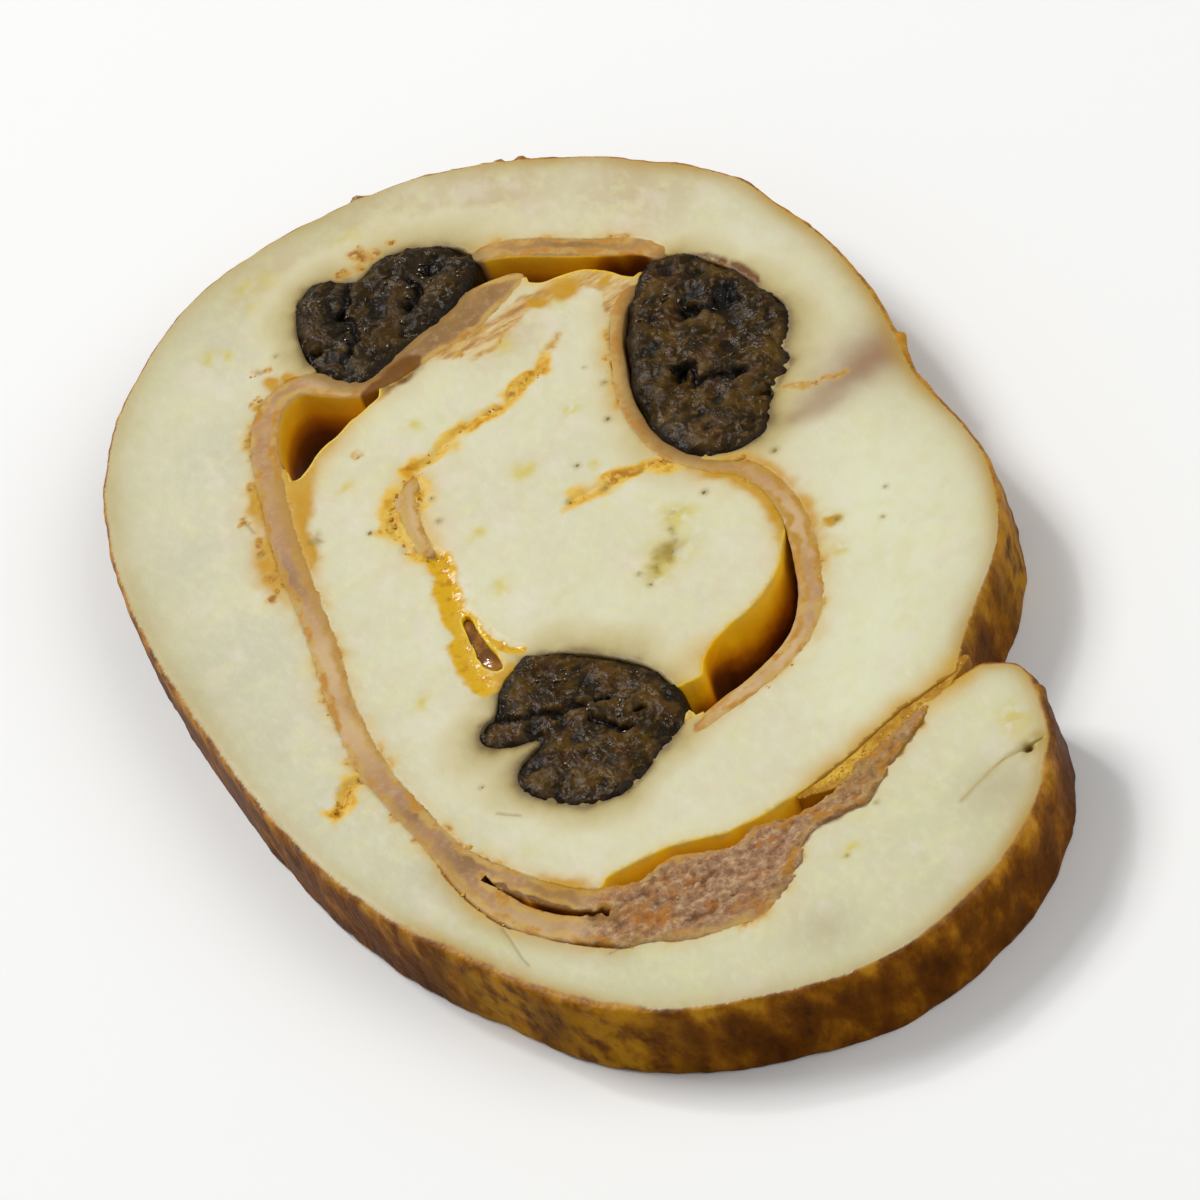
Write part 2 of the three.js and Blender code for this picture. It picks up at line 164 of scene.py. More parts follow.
# Where the face turns golden near the skin, and near a hollow.
GOLDEN_RIM = [
    [-27.4, -26.9, 5], [-26.6, -31, 5], [-25.1, -35.4, 5], [-22.5, -39.1, 5], [9.9, -52.3, 4],
    [16, -48.8, 5], [31, -12, 8], [33, 2, 10], [33.5, 14, 9], [30, 27, 9], [25, 38, 8], [17, 47, 6],
    [22, -30, 7], [24.5, -36, 7], [23, -43, 6],
]
RICH_HOLLOW = [
    [-11, 31, 4], [-14, 29, 5], [-13, 24, 3], [2, -12, 3], [18, -29.5, 4], [14, -30.5, 3.5],
    [10, -31.5, 3.5], [6, -32, 3],
]
# Where the notch's walls get painted shade.
NOTCH_SHADE = [[18, -29.5, 4], [14, -30.5, 3.5], [10, -31.5, 3.5], [6.5, -32.5, 2.5]]
# Where a hollow's walls get more painted shade.
HOLLOW_SHADE = [
    [20, 31.3, 2.8], [17.5, 33, 2], [1.5, -11.5, 2.6], [3.5, -13, 2.4], [-1.5, 39.5, 3], [2.5, 39, 3],
    [6, 38.6, 3], [-21.5, -23, 2.5], [-21, -26, 2.5], [-18.5, -29.5, 2.5], [-16, -32.2, 2.5],
]
GILT = [
    [-10.6, -3.9, 0.9], [-9.6, -3.6, 0.8], [-9.9, 40.4, 0.6], [-11.4, 41.1, 0.8], [19, -7.2, 0.7],
    [10.9, 33.4, 0.9], [-13.3, 39.2, 0.6], [-4.7, 33.4, 0.8], [13.5, 33.4, 1.5], [17.2, 33.6, 0.9],
    [16.8, 31.8, 0.6], [-1.1, -34.9, 0.8],
]
GILT_STROKE = [
    [-14.2, 30, 1.7], [-15, 28, 1.4], [-16.1, 25.6, 1.15], [-17.1, 22.6, 0.9], [-18, 19.6, 0.7],
]
CRUST = [
    [22, -44, 2], [25.8, -36, 1.6], [-27.9, -28.4, 2], [-27, -32.5, 2], [-25.8, -35.6, 2.2],
    [-23.6, -38, 2.4], [-21.8, -40.6, 2.4], [-19.3, -43.4, 2.4], [24.5, -39, 3],
]
HERB_SMEARS = [
    [9, 2.8, 0.5], [8, 1.1, 0.6], [6.9, -0.6, 1], [6.4, -1.2, 0.8], [4.9, -2.1, 0.7], [-16.3, 21.3, 0.5],
]
CRACK_HOLES = [[19.9, -41, 0.36]]
CRACK_GOLD = [[19.9, -41, 0.8], [21.2, -40.8, 0.7]]
# Beside these places both the meat and the ham are golden; skin is tanned at the others,
# and at the lobe's lower right it has painted shade.
GILDED = [[-22, 21.5, 4.5], [-20, 29, 3.5], [14.5, 2, 5], [15, -5, 4.5], [-17, -28.5, 2.5], [14, 33, 3]]
WIDE_GILT = [[-22, 21.5, 5]]
# Rust brown under the upper prune, along the right prune's far side, and at the slit in the fold.
RUST_STROKES = [
    [[-5.6, 33.6, 0.6], [-4.2, 33.8, 1], [-2.4, 34.2, 1.3], [-1, 34.6, 1.2], [-0.2, 34.8, 0.8]],
    [[23.6, 29, 0.6], [24.6, 27.7, 0.8], [25.3, 26.2, 0.9], [25.9, 24.6, 0.8], [26.4, 22.6, 0.6]],
    [[-21.2, -24, 0.2], [-20, -27, 0.3], [-18.7, -29.1, 0.35], [-17.4, -31, 0.3], [-15.8, -33, 0.25]],
]
# Golden juice has soaked into the ham along its inner edge, and lower down its outer edge.
HAM_GILT = [
    [
        [-15.9, 29.8, 0.75], [-17.5, 24.2, 0.75], [-18.9, 16.7, 0.6], [-20.3, 9.2, 0.45],
        [-21.9, 2.2, 0.4], [-22.75, -5.6, 0.4],
    ],
    [[-24.6, -5.6, 0.3], [-24.3, -13.5, 0.5], [-23.7, -19, 0.5], [-23.2, -24, 0.4]],
]
TANNED_SKIN = [[34, 4, 9], [33, 14, 8], [33.5, -6, 7], [30, -16, 6], [-20, -42, 5], [-27, -33, 5]]
# Painted shade on the skin wall at the lobe's lower right.
SHADED_SKIN = [[24, -39, 5], [26, -34, 4], [25.5, -27.5, 3]]
SKIN_REACH = 6.3              # the notch's corner lies this deep behind the slice's hull

# Patches of the ham's tones, and its rust brown spots.
HAM_PATCHES = {
    "pale": [
        [-9.4, 17.3, 5], [-20.5, -30, 2.6], [-17, -33.5, 2.2], [9, -17.5, 3.5], [4, -19.5, 3],
        [-21.8, 8, 5], [-21.8, -1, 4.5], [15.4, -5, 4], [-7.5, 38.2, 1.6], [-4, 36.8, 1.5],
        [9.4, 41.5, 1.8], [13, 18, 3],
    ],
    "tawny": [
        [6, 41, 4], [12, 40, 4], [17.5, 34, 4], [15.5, 25, 5], [14, 15, 4], [-17, -28, 2.5], [8, -33, 4],
    ],
    "brown": [
        [-1.5, 35, 3.4], [2, 35.6, 3.2], [5, 36, 4], [8.4, 37.6, 2.4], [-8, -36, 7], [2, -36, 5],
        [8, -33.5, 4], [17, 38, 4], [-21, -20, 3.6], [-17, -28, 3.4], [-22, 19, 2.8], [-22.5, -13, 2.2],
        [24, 28.5, 2],
    ],
    "mauve": [
        [8.1, 36.2, 1.4], [6.5, 36.4, 1], [10.7, 37.4, 1], [-19.5, 20, 4], [-21, -19.5, 3.5],
        [-1.5, -36.2, 2.2], [14, 40.4, 2.5], [-21.5, -12, 4],
    ],
}
RUSTY_HAM = [
    [-13, -35, 2], [-12.4, -37, 1.8], [-9.4, -34.6, 1.6], [-5.5, -41, 1.4], [0, -38.5, 1.4],
    [2.2, -19.6, 0.9], [0.7, -19.9, 0.8], [5.1, -19.2, 0.6], [7, -18.2, 0.5],
]
# Ragged rows of fat and meat: under the upper prune, and along the bottom hollow.
SHREDDED = [
    [-4.2, 33.6], [-1.8, 34.5], [1.1, 34.6], [3.8, 33.8], [6.1, 33.3], [8.9, 34], [11.5, 34.2],
    [14, 34.4], [16.3, 33], [16.9, 30.5], [16, 27],
]
# The golden crust in the notch: its line, and its half width along it.
GOLD_CRUST = [
    [20.9, -28.6], [18.4, -29.2], [15.8, -30.2], [12.7, -31.5], [9.5, -32.4], [6.3, -32.9], [2.6, -32.9],
]
CRUST_WIDTHS = [0.25, 1.1, 1.4, 1.4, 1.3, 1.1, 0.15]
CRUST_DEPTH = 4
# Where the crust gets painted shade, deep in the notch.
CRUST_SHADE = [[20.5, -28.7, 3], [17.5, -29.4, 1.2], [2.6, -32.9, 2]]
# Places at the rim where bits of torn skin stand out.
TORN_RIM = [
    [17, 51.5, 1.6], [4.5, 56.5, 1.2], [33.3, 25, 0.8], [33.2, 28.7, 0.6], [33.2, 8.3, 0.6],
    [30.6, 0.5, 0.5], [25.4, -36, 1.5], [21.3, -45, 1.5], [-13, 49.6, 0.7],
]

# Creases and holes of each prune: lines, and holes as [x, y, radius].
PRUNE_CREASES = {
    "prune_top": [[[-1, 46.9], [-3, 44], [-3.1, 40.8], [-4.7, 39]],
                  [[3.5, 44], [3.3, 41.4], [1.5, 39.8]]],
    "prune_right": [[[20.2, 23], [22, 22.6], [22.4, 21.8], [24.3, 21.2]],
                    [[16.7, 17.5], [18, 17.1], [17.4, 15], [19.5, 13.8]]],
    "prune_lower": [[[-13.1, -8.2], [-12.1, -9.4], [-10.3, -10.2], [-8.3, -11.1], [-6.6, -12],
                     [-4.9, -12.5]],
                    [[-6.8, -13.4], [-6, -15.2], [-5, -16.6]]],
}
PRUNE_HOLES = {
    "prune_top": [[-3, 44.1, 0.5], [5.4, 43.9, 1.1], [1.7, 40.8, 0.4], [-6.7, 41.5, 0.5]],
    "prune_right": [[20.6, 23.4, 1.1], [23.6, 22.3, 0.9], [20.4, 13.5, 0.6], [16.6, 16.8, 0.7],
                    [21.6, 10.3, 0.5]],
    "prune_lower": [[-5.1, -16.4, 0.5], [-2.9, -15.1, 0.4]],
}
# Where a prune's edge is torn into teeth.
TORN_PRUNE = [
    [26.6, 19, 2.4], [25.6, 14.5, 2.4], [23.6, 10.5, 2.2], [20.8, 7.5, 1.8], [-13, -20, 1.6],
    [-10, -21.6, 2], [-6.7, -22.2, 2.2], [-3.6, -20.5, 2],
]


# Noise, and shares that grow from 0 to 1

NOISE_TILE = 128              # how many steps the noise runs before it repeats
LUMP_TILE = 64


def smooth(low, high, value):
    """0 at low, 1 at high, and an S-shaped change between them."""
    share = np.clip((value - low) / (high - low), 0, 1)
    return share * share * (3 - 2 * share)


def noise(x, y, size, seed=0):
    """Smooth noise from -1 to 1: random values a grid step of size apart, blended between."""
    table = np.random.default_rng(seed).uniform(-1, 1, (NOISE_TILE, NOISE_TILE))
    x, y = x / size + 5 * NOISE_TILE, y / size + 5 * NOISE_TILE
    column, row = np.floor(x).astype(int), np.floor(y).astype(int)
    right, up = x - column, y - row
    right, up = right * right * (3 - 2 * right), up * up * (3 - 2 * up)
    value = lambda i, j: table[(column + i) % NOISE_TILE, (row + j) % NOISE_TILE]
    low = value(0, 0) * (1 - right) + value(1, 0) * right
    high = value(0, 1) * (1 - right) + value(1, 1) * right
    return low * (1 - up) + high * up


def rough(x, y, size, seed=0, octaves=3):
    """The sum of noises, each half as large and half as strong as the one before."""
    return sum(noise(x, y, size / 2**k, seed + k) / 2**k for k in range(octaves))


def lumps(x, y, size, seed=0):
    """Rounded lumps: the distance to the nearest of points scattered one to a square of size,
    from 0 on a lump's crown to about 1 in the creases between lumps."""
    shift = np.random.default_rng(seed).uniform(0.1, 0.9, (2, LUMP_TILE, LUMP_TILE))
    column, row = np.floor(x / size).astype(int), np.floor(y / size).astype(int)
    nearest_yet = np.full(x.shape, 9.0)
    for i in (-1, 0, 1):
        for j in (-1, 0, 1):
            a, b = (column + i) % LUMP_TILE, (row + j) % LUMP_TILE
            away = np.hypot(x / size - column - i - shift[0, a, b], y / size - row - j - shift[1, a, b])
            nearest_yet = np.minimum(nearest_yet, away)
    return nearest_yet


def ridges(x, y, size, seed=0):
    """Winding ridges: 1 where smooth noise changes sign, -1 where it's strongest."""
    return 1 - 2 * np.abs(noise(x, y, size, seed) + 0.4 * noise(x, y, size / 2, seed + 1))


def wobbled(xy, amount, size, seed):
    """Points pushed about by noise, which makes the marks drawn at them ragged."""
    x, y = xy.T
    push = np.column_stack([rough(x, y, size, seed), rough(x, y, size, seed + 10)])
    return xy + amount * push


# Lines, loops and distances in the plan

AT_ONCE = 2000                # points compared at a time, which saves memory


def nearest(points, places):
    """The distance from each point to the nearest of the places."""
    gaps = np.empty(len(points))
    for start in range(0, len(points), AT_ONCE):
        part = points[start:start + AT_ONCE]
        square = (part[:, :1] - places[:, 0]) ** 2 + (part[:, 1:] - places[:, 1]) ** 2
        gaps[start:start + AT_ONCE] = np.sqrt(square.min(1))
    return gaps


def between(line, run, at):
    """Values between a line's points: run says where each point lies, at where they are wanted."""
    return np.column_stack([np.interp(at, run, values) for values in np.transpose(line)])


def run_of(line):
    """How far along a line each of its points lies."""
    return np.r_[0, np.cumsum(np.hypot(*np.diff(line, axis=0).T))]


def along(line, step=0.25):
    """Points a step apart along an open line."""
    run = run_of(line)
    return between(line, run, np.arange(0, run[-1] + step, step))


def fade(away, reach):
    """1 at no distance, about a third at the reach: a bell-shaped curve."""
    return np.exp(-((away / reach) ** 2))


def on_face(lines, step=0.25):
    """Lines of places from the roll's middle, as points in the frame."""
    return np.vstack([along(line, step) + ROLL_MIDDLE for line in lines])


def marks(points, spots):
    """1 at the middle of round marks given as [x, y, radius], fading out past their edges."""
    mark = np.zeros(len(points))
    for x, y, radius in spots:
        away = np.hypot(*(points - ROLL_MIDDLE - [x, y]).T)
        mark = np.maximum(mark, fade(away, radius))
    return mark


def near(points, places, reach):
    """1 at the places, fading out over a reach."""
    return fade(nearest(points, places), reach)


def strokes(points, lines):
    """1 along brush strokes given as [x, y, half width] points, fading out past their sides."""
    dabs = []
    for line in lines:
        count = len(line)
        dabs.append(between(line, range(count), np.linspace(0, count - 1, 12 * count)))
    return marks(points, np.vstack(dabs))


def rounding(level, reach):
    """How much a wall rounds off at a level: 1 at the faces, 0 from a reach inside them."""
    return np.clip(1 - np.minimum(level, 1 - level) / reach, 0, 1) ** 2


def evenly(loop, step):
    """Evenly spaced points round a closed loop, its corners eased."""
    closed = np.vstack([loop, loop[:1]])
    run = run_of(closed)
    count = max(10, int(round(run[-1] / step)))
    even = between(closed, run, np.linspace(0, run[-1], count, endpoint=False))
    return (np.roll(even, 1, axis=0) + 2 * even + np.roll(even, -1, axis=0)) / 4


def inside(points, loops):
    """Whether each point lies in the loops: a line from it crosses them an odd number of times."""
    crossings = np.zeros(len(points), int)
    for loop in loops:
        ahead = np.roll(loop, -1, axis=0)
        for start in range(0, len(points), AT_ONCE):
            x, y = points[start:start + AT_ONCE].T[:, :, None]
            spans = (loop[:, 1] > y) != (ahead[:, 1] > y)
            rise = np.where(ahead[:, 1] == loop[:, 1], 1e-9, ahead[:, 1] - loop[:, 1])
            reach = loop[:, 0] + (y - loop[:, 1]) * (ahead[:, 0] - loop[:, 0]) / rise
            crossings[start:start + AT_ONCE] += (spans & (x < reach)).sum(1)
    return crossings % 2 == 1


def signed_area(loop):
    """Half the sum of the cross products of neighbouring points: above 0 where it turns left."""
    x, y = loop.T
    return 0.5 * (x * np.roll(y, -1) - y * np.roll(x, -1)).sum()


def outlines(node):
    """The closed loops in which the level at half height cuts a CAD node, meat on their left."""
    cut = bmesh.new()
    cut.from_mesh(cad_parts[node].data)
    bmesh.ops.remove_doubles(cut, verts=cut.verts, dist=1e-6)
    bmesh.ops.bisect_plane(
        cut, geom=cut.verts[:] + cut.edges[:] + cut.faces[:], dist=1e-7,
        plane_co=(0, 0, HALF_WAY * MM), plane_no=(0, 0, 1), clear_inner=True, clear_outer=True)
    loops, left = [], dict.fromkeys(cut.verts)
    while left:
        corner, _ = left.popitem()
        loop = [corner]
        while True:
            following = [edge.other_vert(corner) for edge in corner.link_edges]
            following = [vertex for vertex in following if vertex in left]
            if not following:
                break
            corner = following[0]
            del left[corner]
            loop.append(corner)
        if len(loop) > 3:
            loops.append(np.array([vertex.co[:2] for vertex in loop]) / MM)
    cut.free()
    turned = []
    for k, loop in enumerate(loops):
        others = loops[:k] + loops[k + 1:]
        hole = bool(others) and inside(loop[:1], others)[0]
        wrong_way = (signed_area(loop) < 0) != hole
        turned.append(loop[::-1] if wrong_way else loop)
    return turned


def outward(loop):
    """Unit normals away from the meat, which lies on the loop's left."""
    way = np.roll(loop, -2, axis=0) - np.roll(loop, 2, axis=0)
    way /= np.maximum(np.hypot(*way.T), 1e-9)[:, None]
    return np.column_stack([way[:, 1], -way[:, 0]])


def swell(x, y):
    """The gentle unevenness of the knife's cut."""
    return 0.13 * noise(x, y, 12, 5) + 0.05 * noise(x, y, 4.5, 6)


# Meshes

HONEYCOMB_ROW = 0.866         # a row's height in steps, as in triangles with equal sides
OFF_THE_RIM = 0.55            # how many steps the inner points keep away from the rim


def filled(loops, step, seed, details=None):
    """Triangles that fill the loops: points on a jittered honeycomb inside them, with denser
    points at the details, joined without long slivers. Returns the inner points and the
    triangles, which count the loops' points first."""
    rim = np.vstack(loops)
    low, high = rim.min(0), rim.max(0)
    x = np.arange(low[0], high[0], step)
    y = np.arange(low[1], high[1], step * HONEYCOMB_ROW)
    net = np.stack(np.meshgrid(x, y), 2)
    net[1::2, :, 0] += step / 2
    jitter = np.random.default_rng(seed).uniform(-0.16, 0.16, net.shape)
    net = (net + step * jitter).reshape(-1, 2)
    net = net[inside(net, loops)]
    net = net[nearest(net, rim) > OFF_THE_RIM * step]
    if details is not None:
        details = details[inside(details, loops)]
        details = details[nearest(details, rim) > OFF_THE_RIM * step]
        net = np.vstack([net[nearest(net, details) > 0.5 * step], details])
    ends, start = [], 0
    for loop in loops:
        at = np.arange(len(loop))
        ends.append(np.column_stack([at, np.roll(at, -1)]) + start)
        start += len(loop)
    points = np.vstack([rim, net])
    _, _, faces, origins, _, _ = delaunay_2d_cdt(
        [Vector(point) for point in points.tolist()], np.vstack(ends).tolist(), [], 0, 1e-7)
    origin = np.array([came_from[0] if came_from else -1 for came_from in origins])
    triangles = origin[np.array(faces)]
    triangles = triangles[(triangles >= 0).all(1)]
    return net, triangles[inside(points[triangles].mean(1), loops)]


def mesh_object(name, points, faces, facts):
    """A smooth mesh object from points in millimetres, with its facts kept as point attributes."""
    mesh = bpy.data.meshes.new(name)
    mesh.from_pydata((points * MM).tolist(), [], faces.tolist())
    mesh.shade_smooth()
    for fact, values in facts.items():
        layer = mesh.attributes.new(fact, "FLOAT", "POINT")
        layer.data.foreach_set("value", np.asarray(values, np.float32))
    piece = bpy.data.objects.new(name, mesh)
    bpy.context.scene.collection.objects.link(piece)
    return piece


BACK_STEP = 1.2
FILLING_BACK_STEP = 0.9
WALL_LEVELS = np.array([0, 0.02, 0.06, 0.12, 0.2, 0.28, 0.36, 0.44, 0.52, 0.6, 0.68, 0.76, 0.84,
                        0.9, 0.95, 0.98, 1])


def slab(name, loops, step, top, back, wall, facts, details=None, back_step=BACK_STEP):
    """A closed slab over a plan: top(xy, d) and back(xy) give its faces' heights, where d is the
    distance from the edge, and wall(xy, level) how far the wall stands in at a level from 0, the
    back, to 1, the top. facts(xy, z, part) gives the point attributes; part is 0 on the top, 1 on
    the wall and 2 on the back."""
    rim = np.vstack(loops)
    normals = np.vstack([outward(loop) for loop in loops])
    rings = [rim - normals * wall(rim, level)[:, None] for level in WALL_LEVELS]
    rings = [np.clip(ring, *BOX_SIDES) for ring in rings]
    splits = np.cumsum([len(loop) for loop in loops])[:-1]
    top_net, top_faces = filled(np.split(rings[-1], splits), step, 1, details)
    back_net, back_faces = filled(np.split(rings[0], splits), back_step, 2)
    count = len(rim)
    top_points = np.vstack([rings[-1], top_net])
    distance = np.r_[np.zeros(count), nearest(top_net, rings[-1])]
    top_heights = top(top_points, distance)
    back_points = np.vstack([rings[0], back_net])
    back_heights = back(back_points)
    sides = []
    for level, ring in zip(WALL_LEVELS[1:-1], rings[1:-1]):
        height = back_heights[:count] * (1 - level) + top_heights[:count] * level
        sides.append(np.column_stack([ring, height]))
    points = np.vstack([
        np.column_stack([back_points, back_heights]),
        *sides,
        np.column_stack([top_points, top_heights]),
    ])
    # Where each ring starts among the points: the back's ring, the sides' and the top's.
    first_side = count + len(back_net)
    top_start = first_side + len(sides) * count
    starts = [0, *range(first_side, top_start + 1, count)]
    here = np.arange(count)
    ahead = np.concatenate([np.roll(part, -1) for part in np.split(here, splits)])
    walls = []
    for low, high in zip(starts[:-1], starts[1:]):
        walls.append(np.column_stack([low + here, low + ahead, high + ahead]))
        walls.append(np.column_stack([low + here, high + ahead, high + here]))
    triangles = np.vstack([back_faces[:, ::-1], *walls, top_faces + top_start])
    part = np.ones(len(points))
    part[count:first_side] = 2
    part[top_start + count:] = 0
    return mesh_object(name, points, triangles, facts(points[:, :2], points[:, 2], part))


def crumb_points():
    """A round crumb's corners and faces: an octahedron whose faces are each split in four."""
    axes = np.array([[1, 0, 0], [0, 1, 0], [-1, 0, 0], [0, -1, 0], [0, 0, 1], [0, 0, -1]], float)
    corners = [tuple(axis) for axis in axes]
    faces = []

    def middle(a, b):
        half = axes[a] + axes[b]
        key = tuple(np.round(half / np.linalg.norm(half), 6))
        if key not in corners:
            corners.append(key)
        return corners.index(key)

    for side in range(4):
        a, b = side, (side + 1) % 4
        for tip, turned in ((4, False), (5, True)):
            ab, bt, ta = middle(a, b), middle(b, tip), middle(tip, a)
            four = [[a, ab, ta], [ab, b, bt], [ta, bt, tip], [ab, bt, ta]]
            faces += [face[::-1] for face in four] if turned else four
    return np.array(corners, float), np.array(faces)


def joined(name, copies, faces, random):
    """Copies of a small shape in one mesh, each copy a row of corners with a tint of its own."""
    count, size, _ = copies.shape
    every = (faces[None] + size * np.arange(count)[:, None, None]).reshape(-1, 3)
    tint = np.repeat(random.uniform(0, 1, count), size)
    return mesh_object(name, copies.reshape(-1, 3), every, {"tint": tint})


def crumbs(name, places, radii, heights, squash, seed):
    """Lumps of random shape and turn, one at each place, joined in one mesh: a round crumb's
    corners pushed in or out, stretched, turned about the upright and sunk into the face."""
    random = np.random.default_rng(seed)
    ball, faces = crumb_points()
    count = len(places)
    push = random.uniform(0.72, 1.28, (count, len(ball), 1))
    stretch = random.uniform(0.7, 1.35, (count, 1, 3)) * [1, 1, squash]
    turn = random.uniform(0, 2 * np.pi, count)
    corner = ball[None] * push * stretch * radii[:, None, None]
    cos, sin = np.cos(turn)[:, None], np.sin(turn)[:, None]
    x = corner[..., 0] * cos - corner[..., 1] * sin + places[:, :1]
    y = corner[..., 0] * sin + corner[..., 1] * cos + places[:, 1:]
    z = corner[..., 2] + heights[:, None]
    low, high = [*BOX_SIDES[0], 0], [*BOX_SIDES[1], CEILING]
    return joined(name, np.clip(np.stack([x, y, z], 2), low, high), faces, random)


# The plans, and what lies where on them

MEAT_STEP = 0.34              # how far apart the points of a face lie
HAM_STEP = 0.26
FINE_STEP = 0.2
MEAT_RIM_STEP = 0.38          # and the points of an outline
HAM_RIM_STEP = 0.33
PRUNE_RIM_STEP = 0.25
MEAT_GROWS = 0.3              # the meat reaches out over the gap beside a filling
STAIN_PATCHES = (3.4, 36)     # the size and the seed of the stained patches beside the ham
HAM_NODES = ["ham_outer", "ham_top", "ham_inner", "ham_core"]
PRUNE_NODES = ["prune_top", "prune_right", "prune_lower"]


def plan_of(node, step):
    """A CAD node's outlines, with points a step apart."""
    return [evenly(loop, step) for loop in outlines(node)]


meat_plan = plan_of("turkey", MEAT_RIM_STEP)
ham_plans = {node: plan_of(node, HAM_RIM_STEP) for node in HAM_NODES}
prune_plans = {node: plan_of(node, PRUNE_RIM_STEP) for node in PRUNE_NODES}

meat_rim = np.vstack(meat_plan)
hull = meat_rim[convex_hull_2d([Vector(point) for point in meat_rim.tolist()])]
hull_line = evenly(hull, 0.5)
ham_rim = np.vstack([loop for plan in ham_plans.values() for loop in plan])
prune_rim = np.vstack([loop for plan in prune_plans.values() for loop in plan])
is_skin = nearest(meat_rim, hull_line) < SKIN_REACH
filling_rim = np.vstack([ham_rim, prune_rim])
to_filling = nearest(meat_rim, filling_rim)
skin_rim = meat_rim[is_skin]
hollow_rim = meat_rim[~is_skin & (to_filling > 0.7)]
seam_line = on_face(SEAMS)
faint_line = on_face(FAINT_SEAMS)
crack_line = on_face([CRACK], 0.1)
scratch_line = on_face(SCRATCHES, 0.1)
band_line = on_face([SHREDDED])
core_rim = np.vstack(ham_plans["ham_core"])
jelly_line = on_face([JELLY])
fork_line = on_face([JELLY_FORK])


def around(places, offsets):
    """A point at each offset from each of the places."""
    return (places[:, None] + offsets).reshape(-1, 2)


def crack_details():
    """Rows of extra points beside the cracks, so that they are cut sharply."""
    ring = [[dx, dy] for dx in (-0.2, 0, 0.2) for dy in (-0.2, -0.07, 0.07, 0.2)]
    return around(on_face([CRACK, *SCRATCHES], 0.2), np.array(ring))


def band_details():
    """Extra points over the ragged band under the upper prune."""
    places = on_face([SHREDDED], 0.2)
    return around(places, np.random.default_rng(7).uniform(-1.5, 1.5, (len(places), 12, 2)))


def rim_details():
    """Two rows of extra points inside the skin's edge, so that its line is drawn evenly."""
    outer = meat_plan[0]
    rows = np.vstack([outer - inset * outward(outer) for inset in (0.42, 0.72)])
    return rows[nearest(rows, skin_rim) < 0.8]


def band_share(xy):
    """How much of the ragged band under the upper prune a point has."""
    return near(wobbled(xy, 0.6, 2.4, 72), band_line, 1.1)


def meat_top(xy, d):
    """The cut face: swells, faint bundles of fibres, a groove at each seam and crack, ridges in
    the ragged band, and edges that round off."""
    x, y = xy.T
    band = band_share(xy) * (0.1 * rough(0.3 * x, y, 0.8, 73) - 0.06)
    bundles = 0.035 * lumps(x, y, 1.7, 8) + 0.02 * rough(x, y, 0.9, 9)
    jelly = np.minimum(nearest(xy, jelly_line), 2.2 * nearest(xy, fork_line))
    groove = 0.3 * near(wobbled(xy, 0.35, 1.6, 70), seam_line, 0.4) * (1 + noise(x, y, 1.3, 9))
    bed = 0.35 * fade(jelly, 0.9)
    split = near(xy, crack_line, 0.1) * (0.015 + 0.3 * marks(xy, [[19.9, -41, 2]]))
    split = split + 0.7 * marks(xy, CRACK_HOLES) + 0.08 * near(xy, scratch_line, 0.12)
    edge = (0.04 + 0.2 * np.exp(-nearest(xy, skin_rim) / 0.8)) * np.exp(-d / 0.35)
    return FACE + swell(x, y) - bundles - groove - bed - split - edge + band


def meat_back(xy):
    """The back face: nearly flat, never below the floor."""
    return 0.03 * (1 + noise(*xy.T, 6, 12))


def meat_wall(rim, level):
    """How far in the wall stands: round at both faces, wrinkled and pitted where it is skin, and
    out over the gap beside a filling, in teeth where the prune is torn. Below 0 it stands out."""
    skin = np.interp(nearest(rim, skin_rim), [0, 3], [1, 0])
    x, y = rim.T
    lift = THICKNESS * level
    folds = rough(x + 0.3 * lift, y - 0.3 * lift, 3, 20)
    pits = rough(x + 1.1 * lift, y + 0.9 * lift, 1.1, 23, 2)
    beside = smooth(0.9, 0.5, nearest(rim, filling_rim))
    teeth = marks(rim, TORN_PRUNE) * smooth(0.3, 0.65, lumps(x, y, 1.5, 67))
    free = 0.1 * (1 + rough(x, y, 1.4, 22, 2)) + 0.07 * (1 + noise(x + lift, y - lift, 2, 26))
    cut = (1 - beside) * free - beside * (MEAT_GROWS + 0.03 * rough(x, y, 1.2, 24, 2) + 0.8 * teeth)
    lip = marks(rim, TORN_RIM) * smooth(0.72, 0.98, level) * smooth(-0.3, 0.7, noise(x, y, 0.9, 27))
    skinned = 0.12 * folds + 0.07 * pits - 0.1 - 0.75 * lip
    return rounding(level, 0.08) * (0.04 + 0.12 * skin) + skin * skinned + (1 - skin) * cut


def shared_facts(xy, z, part):
    """What the finishes of meat and ham both read: how deep in a hollow, where its walls get more
    painted shade, where the notch's walls get painted shade, and the rust coloured lines."""
    return {
        "depth": np.clip(1 - z / THICKNESS, 0, 1) * (part == 1),
        "dark": marks(xy, HOLLOW_SHADE),
        "notch": marks(xy, NOTCH_SHADE) * (part == 1),
        "rust": strokes(wobbled(xy, 0.3, 1.2, 71), RUST_STROKES),
    }


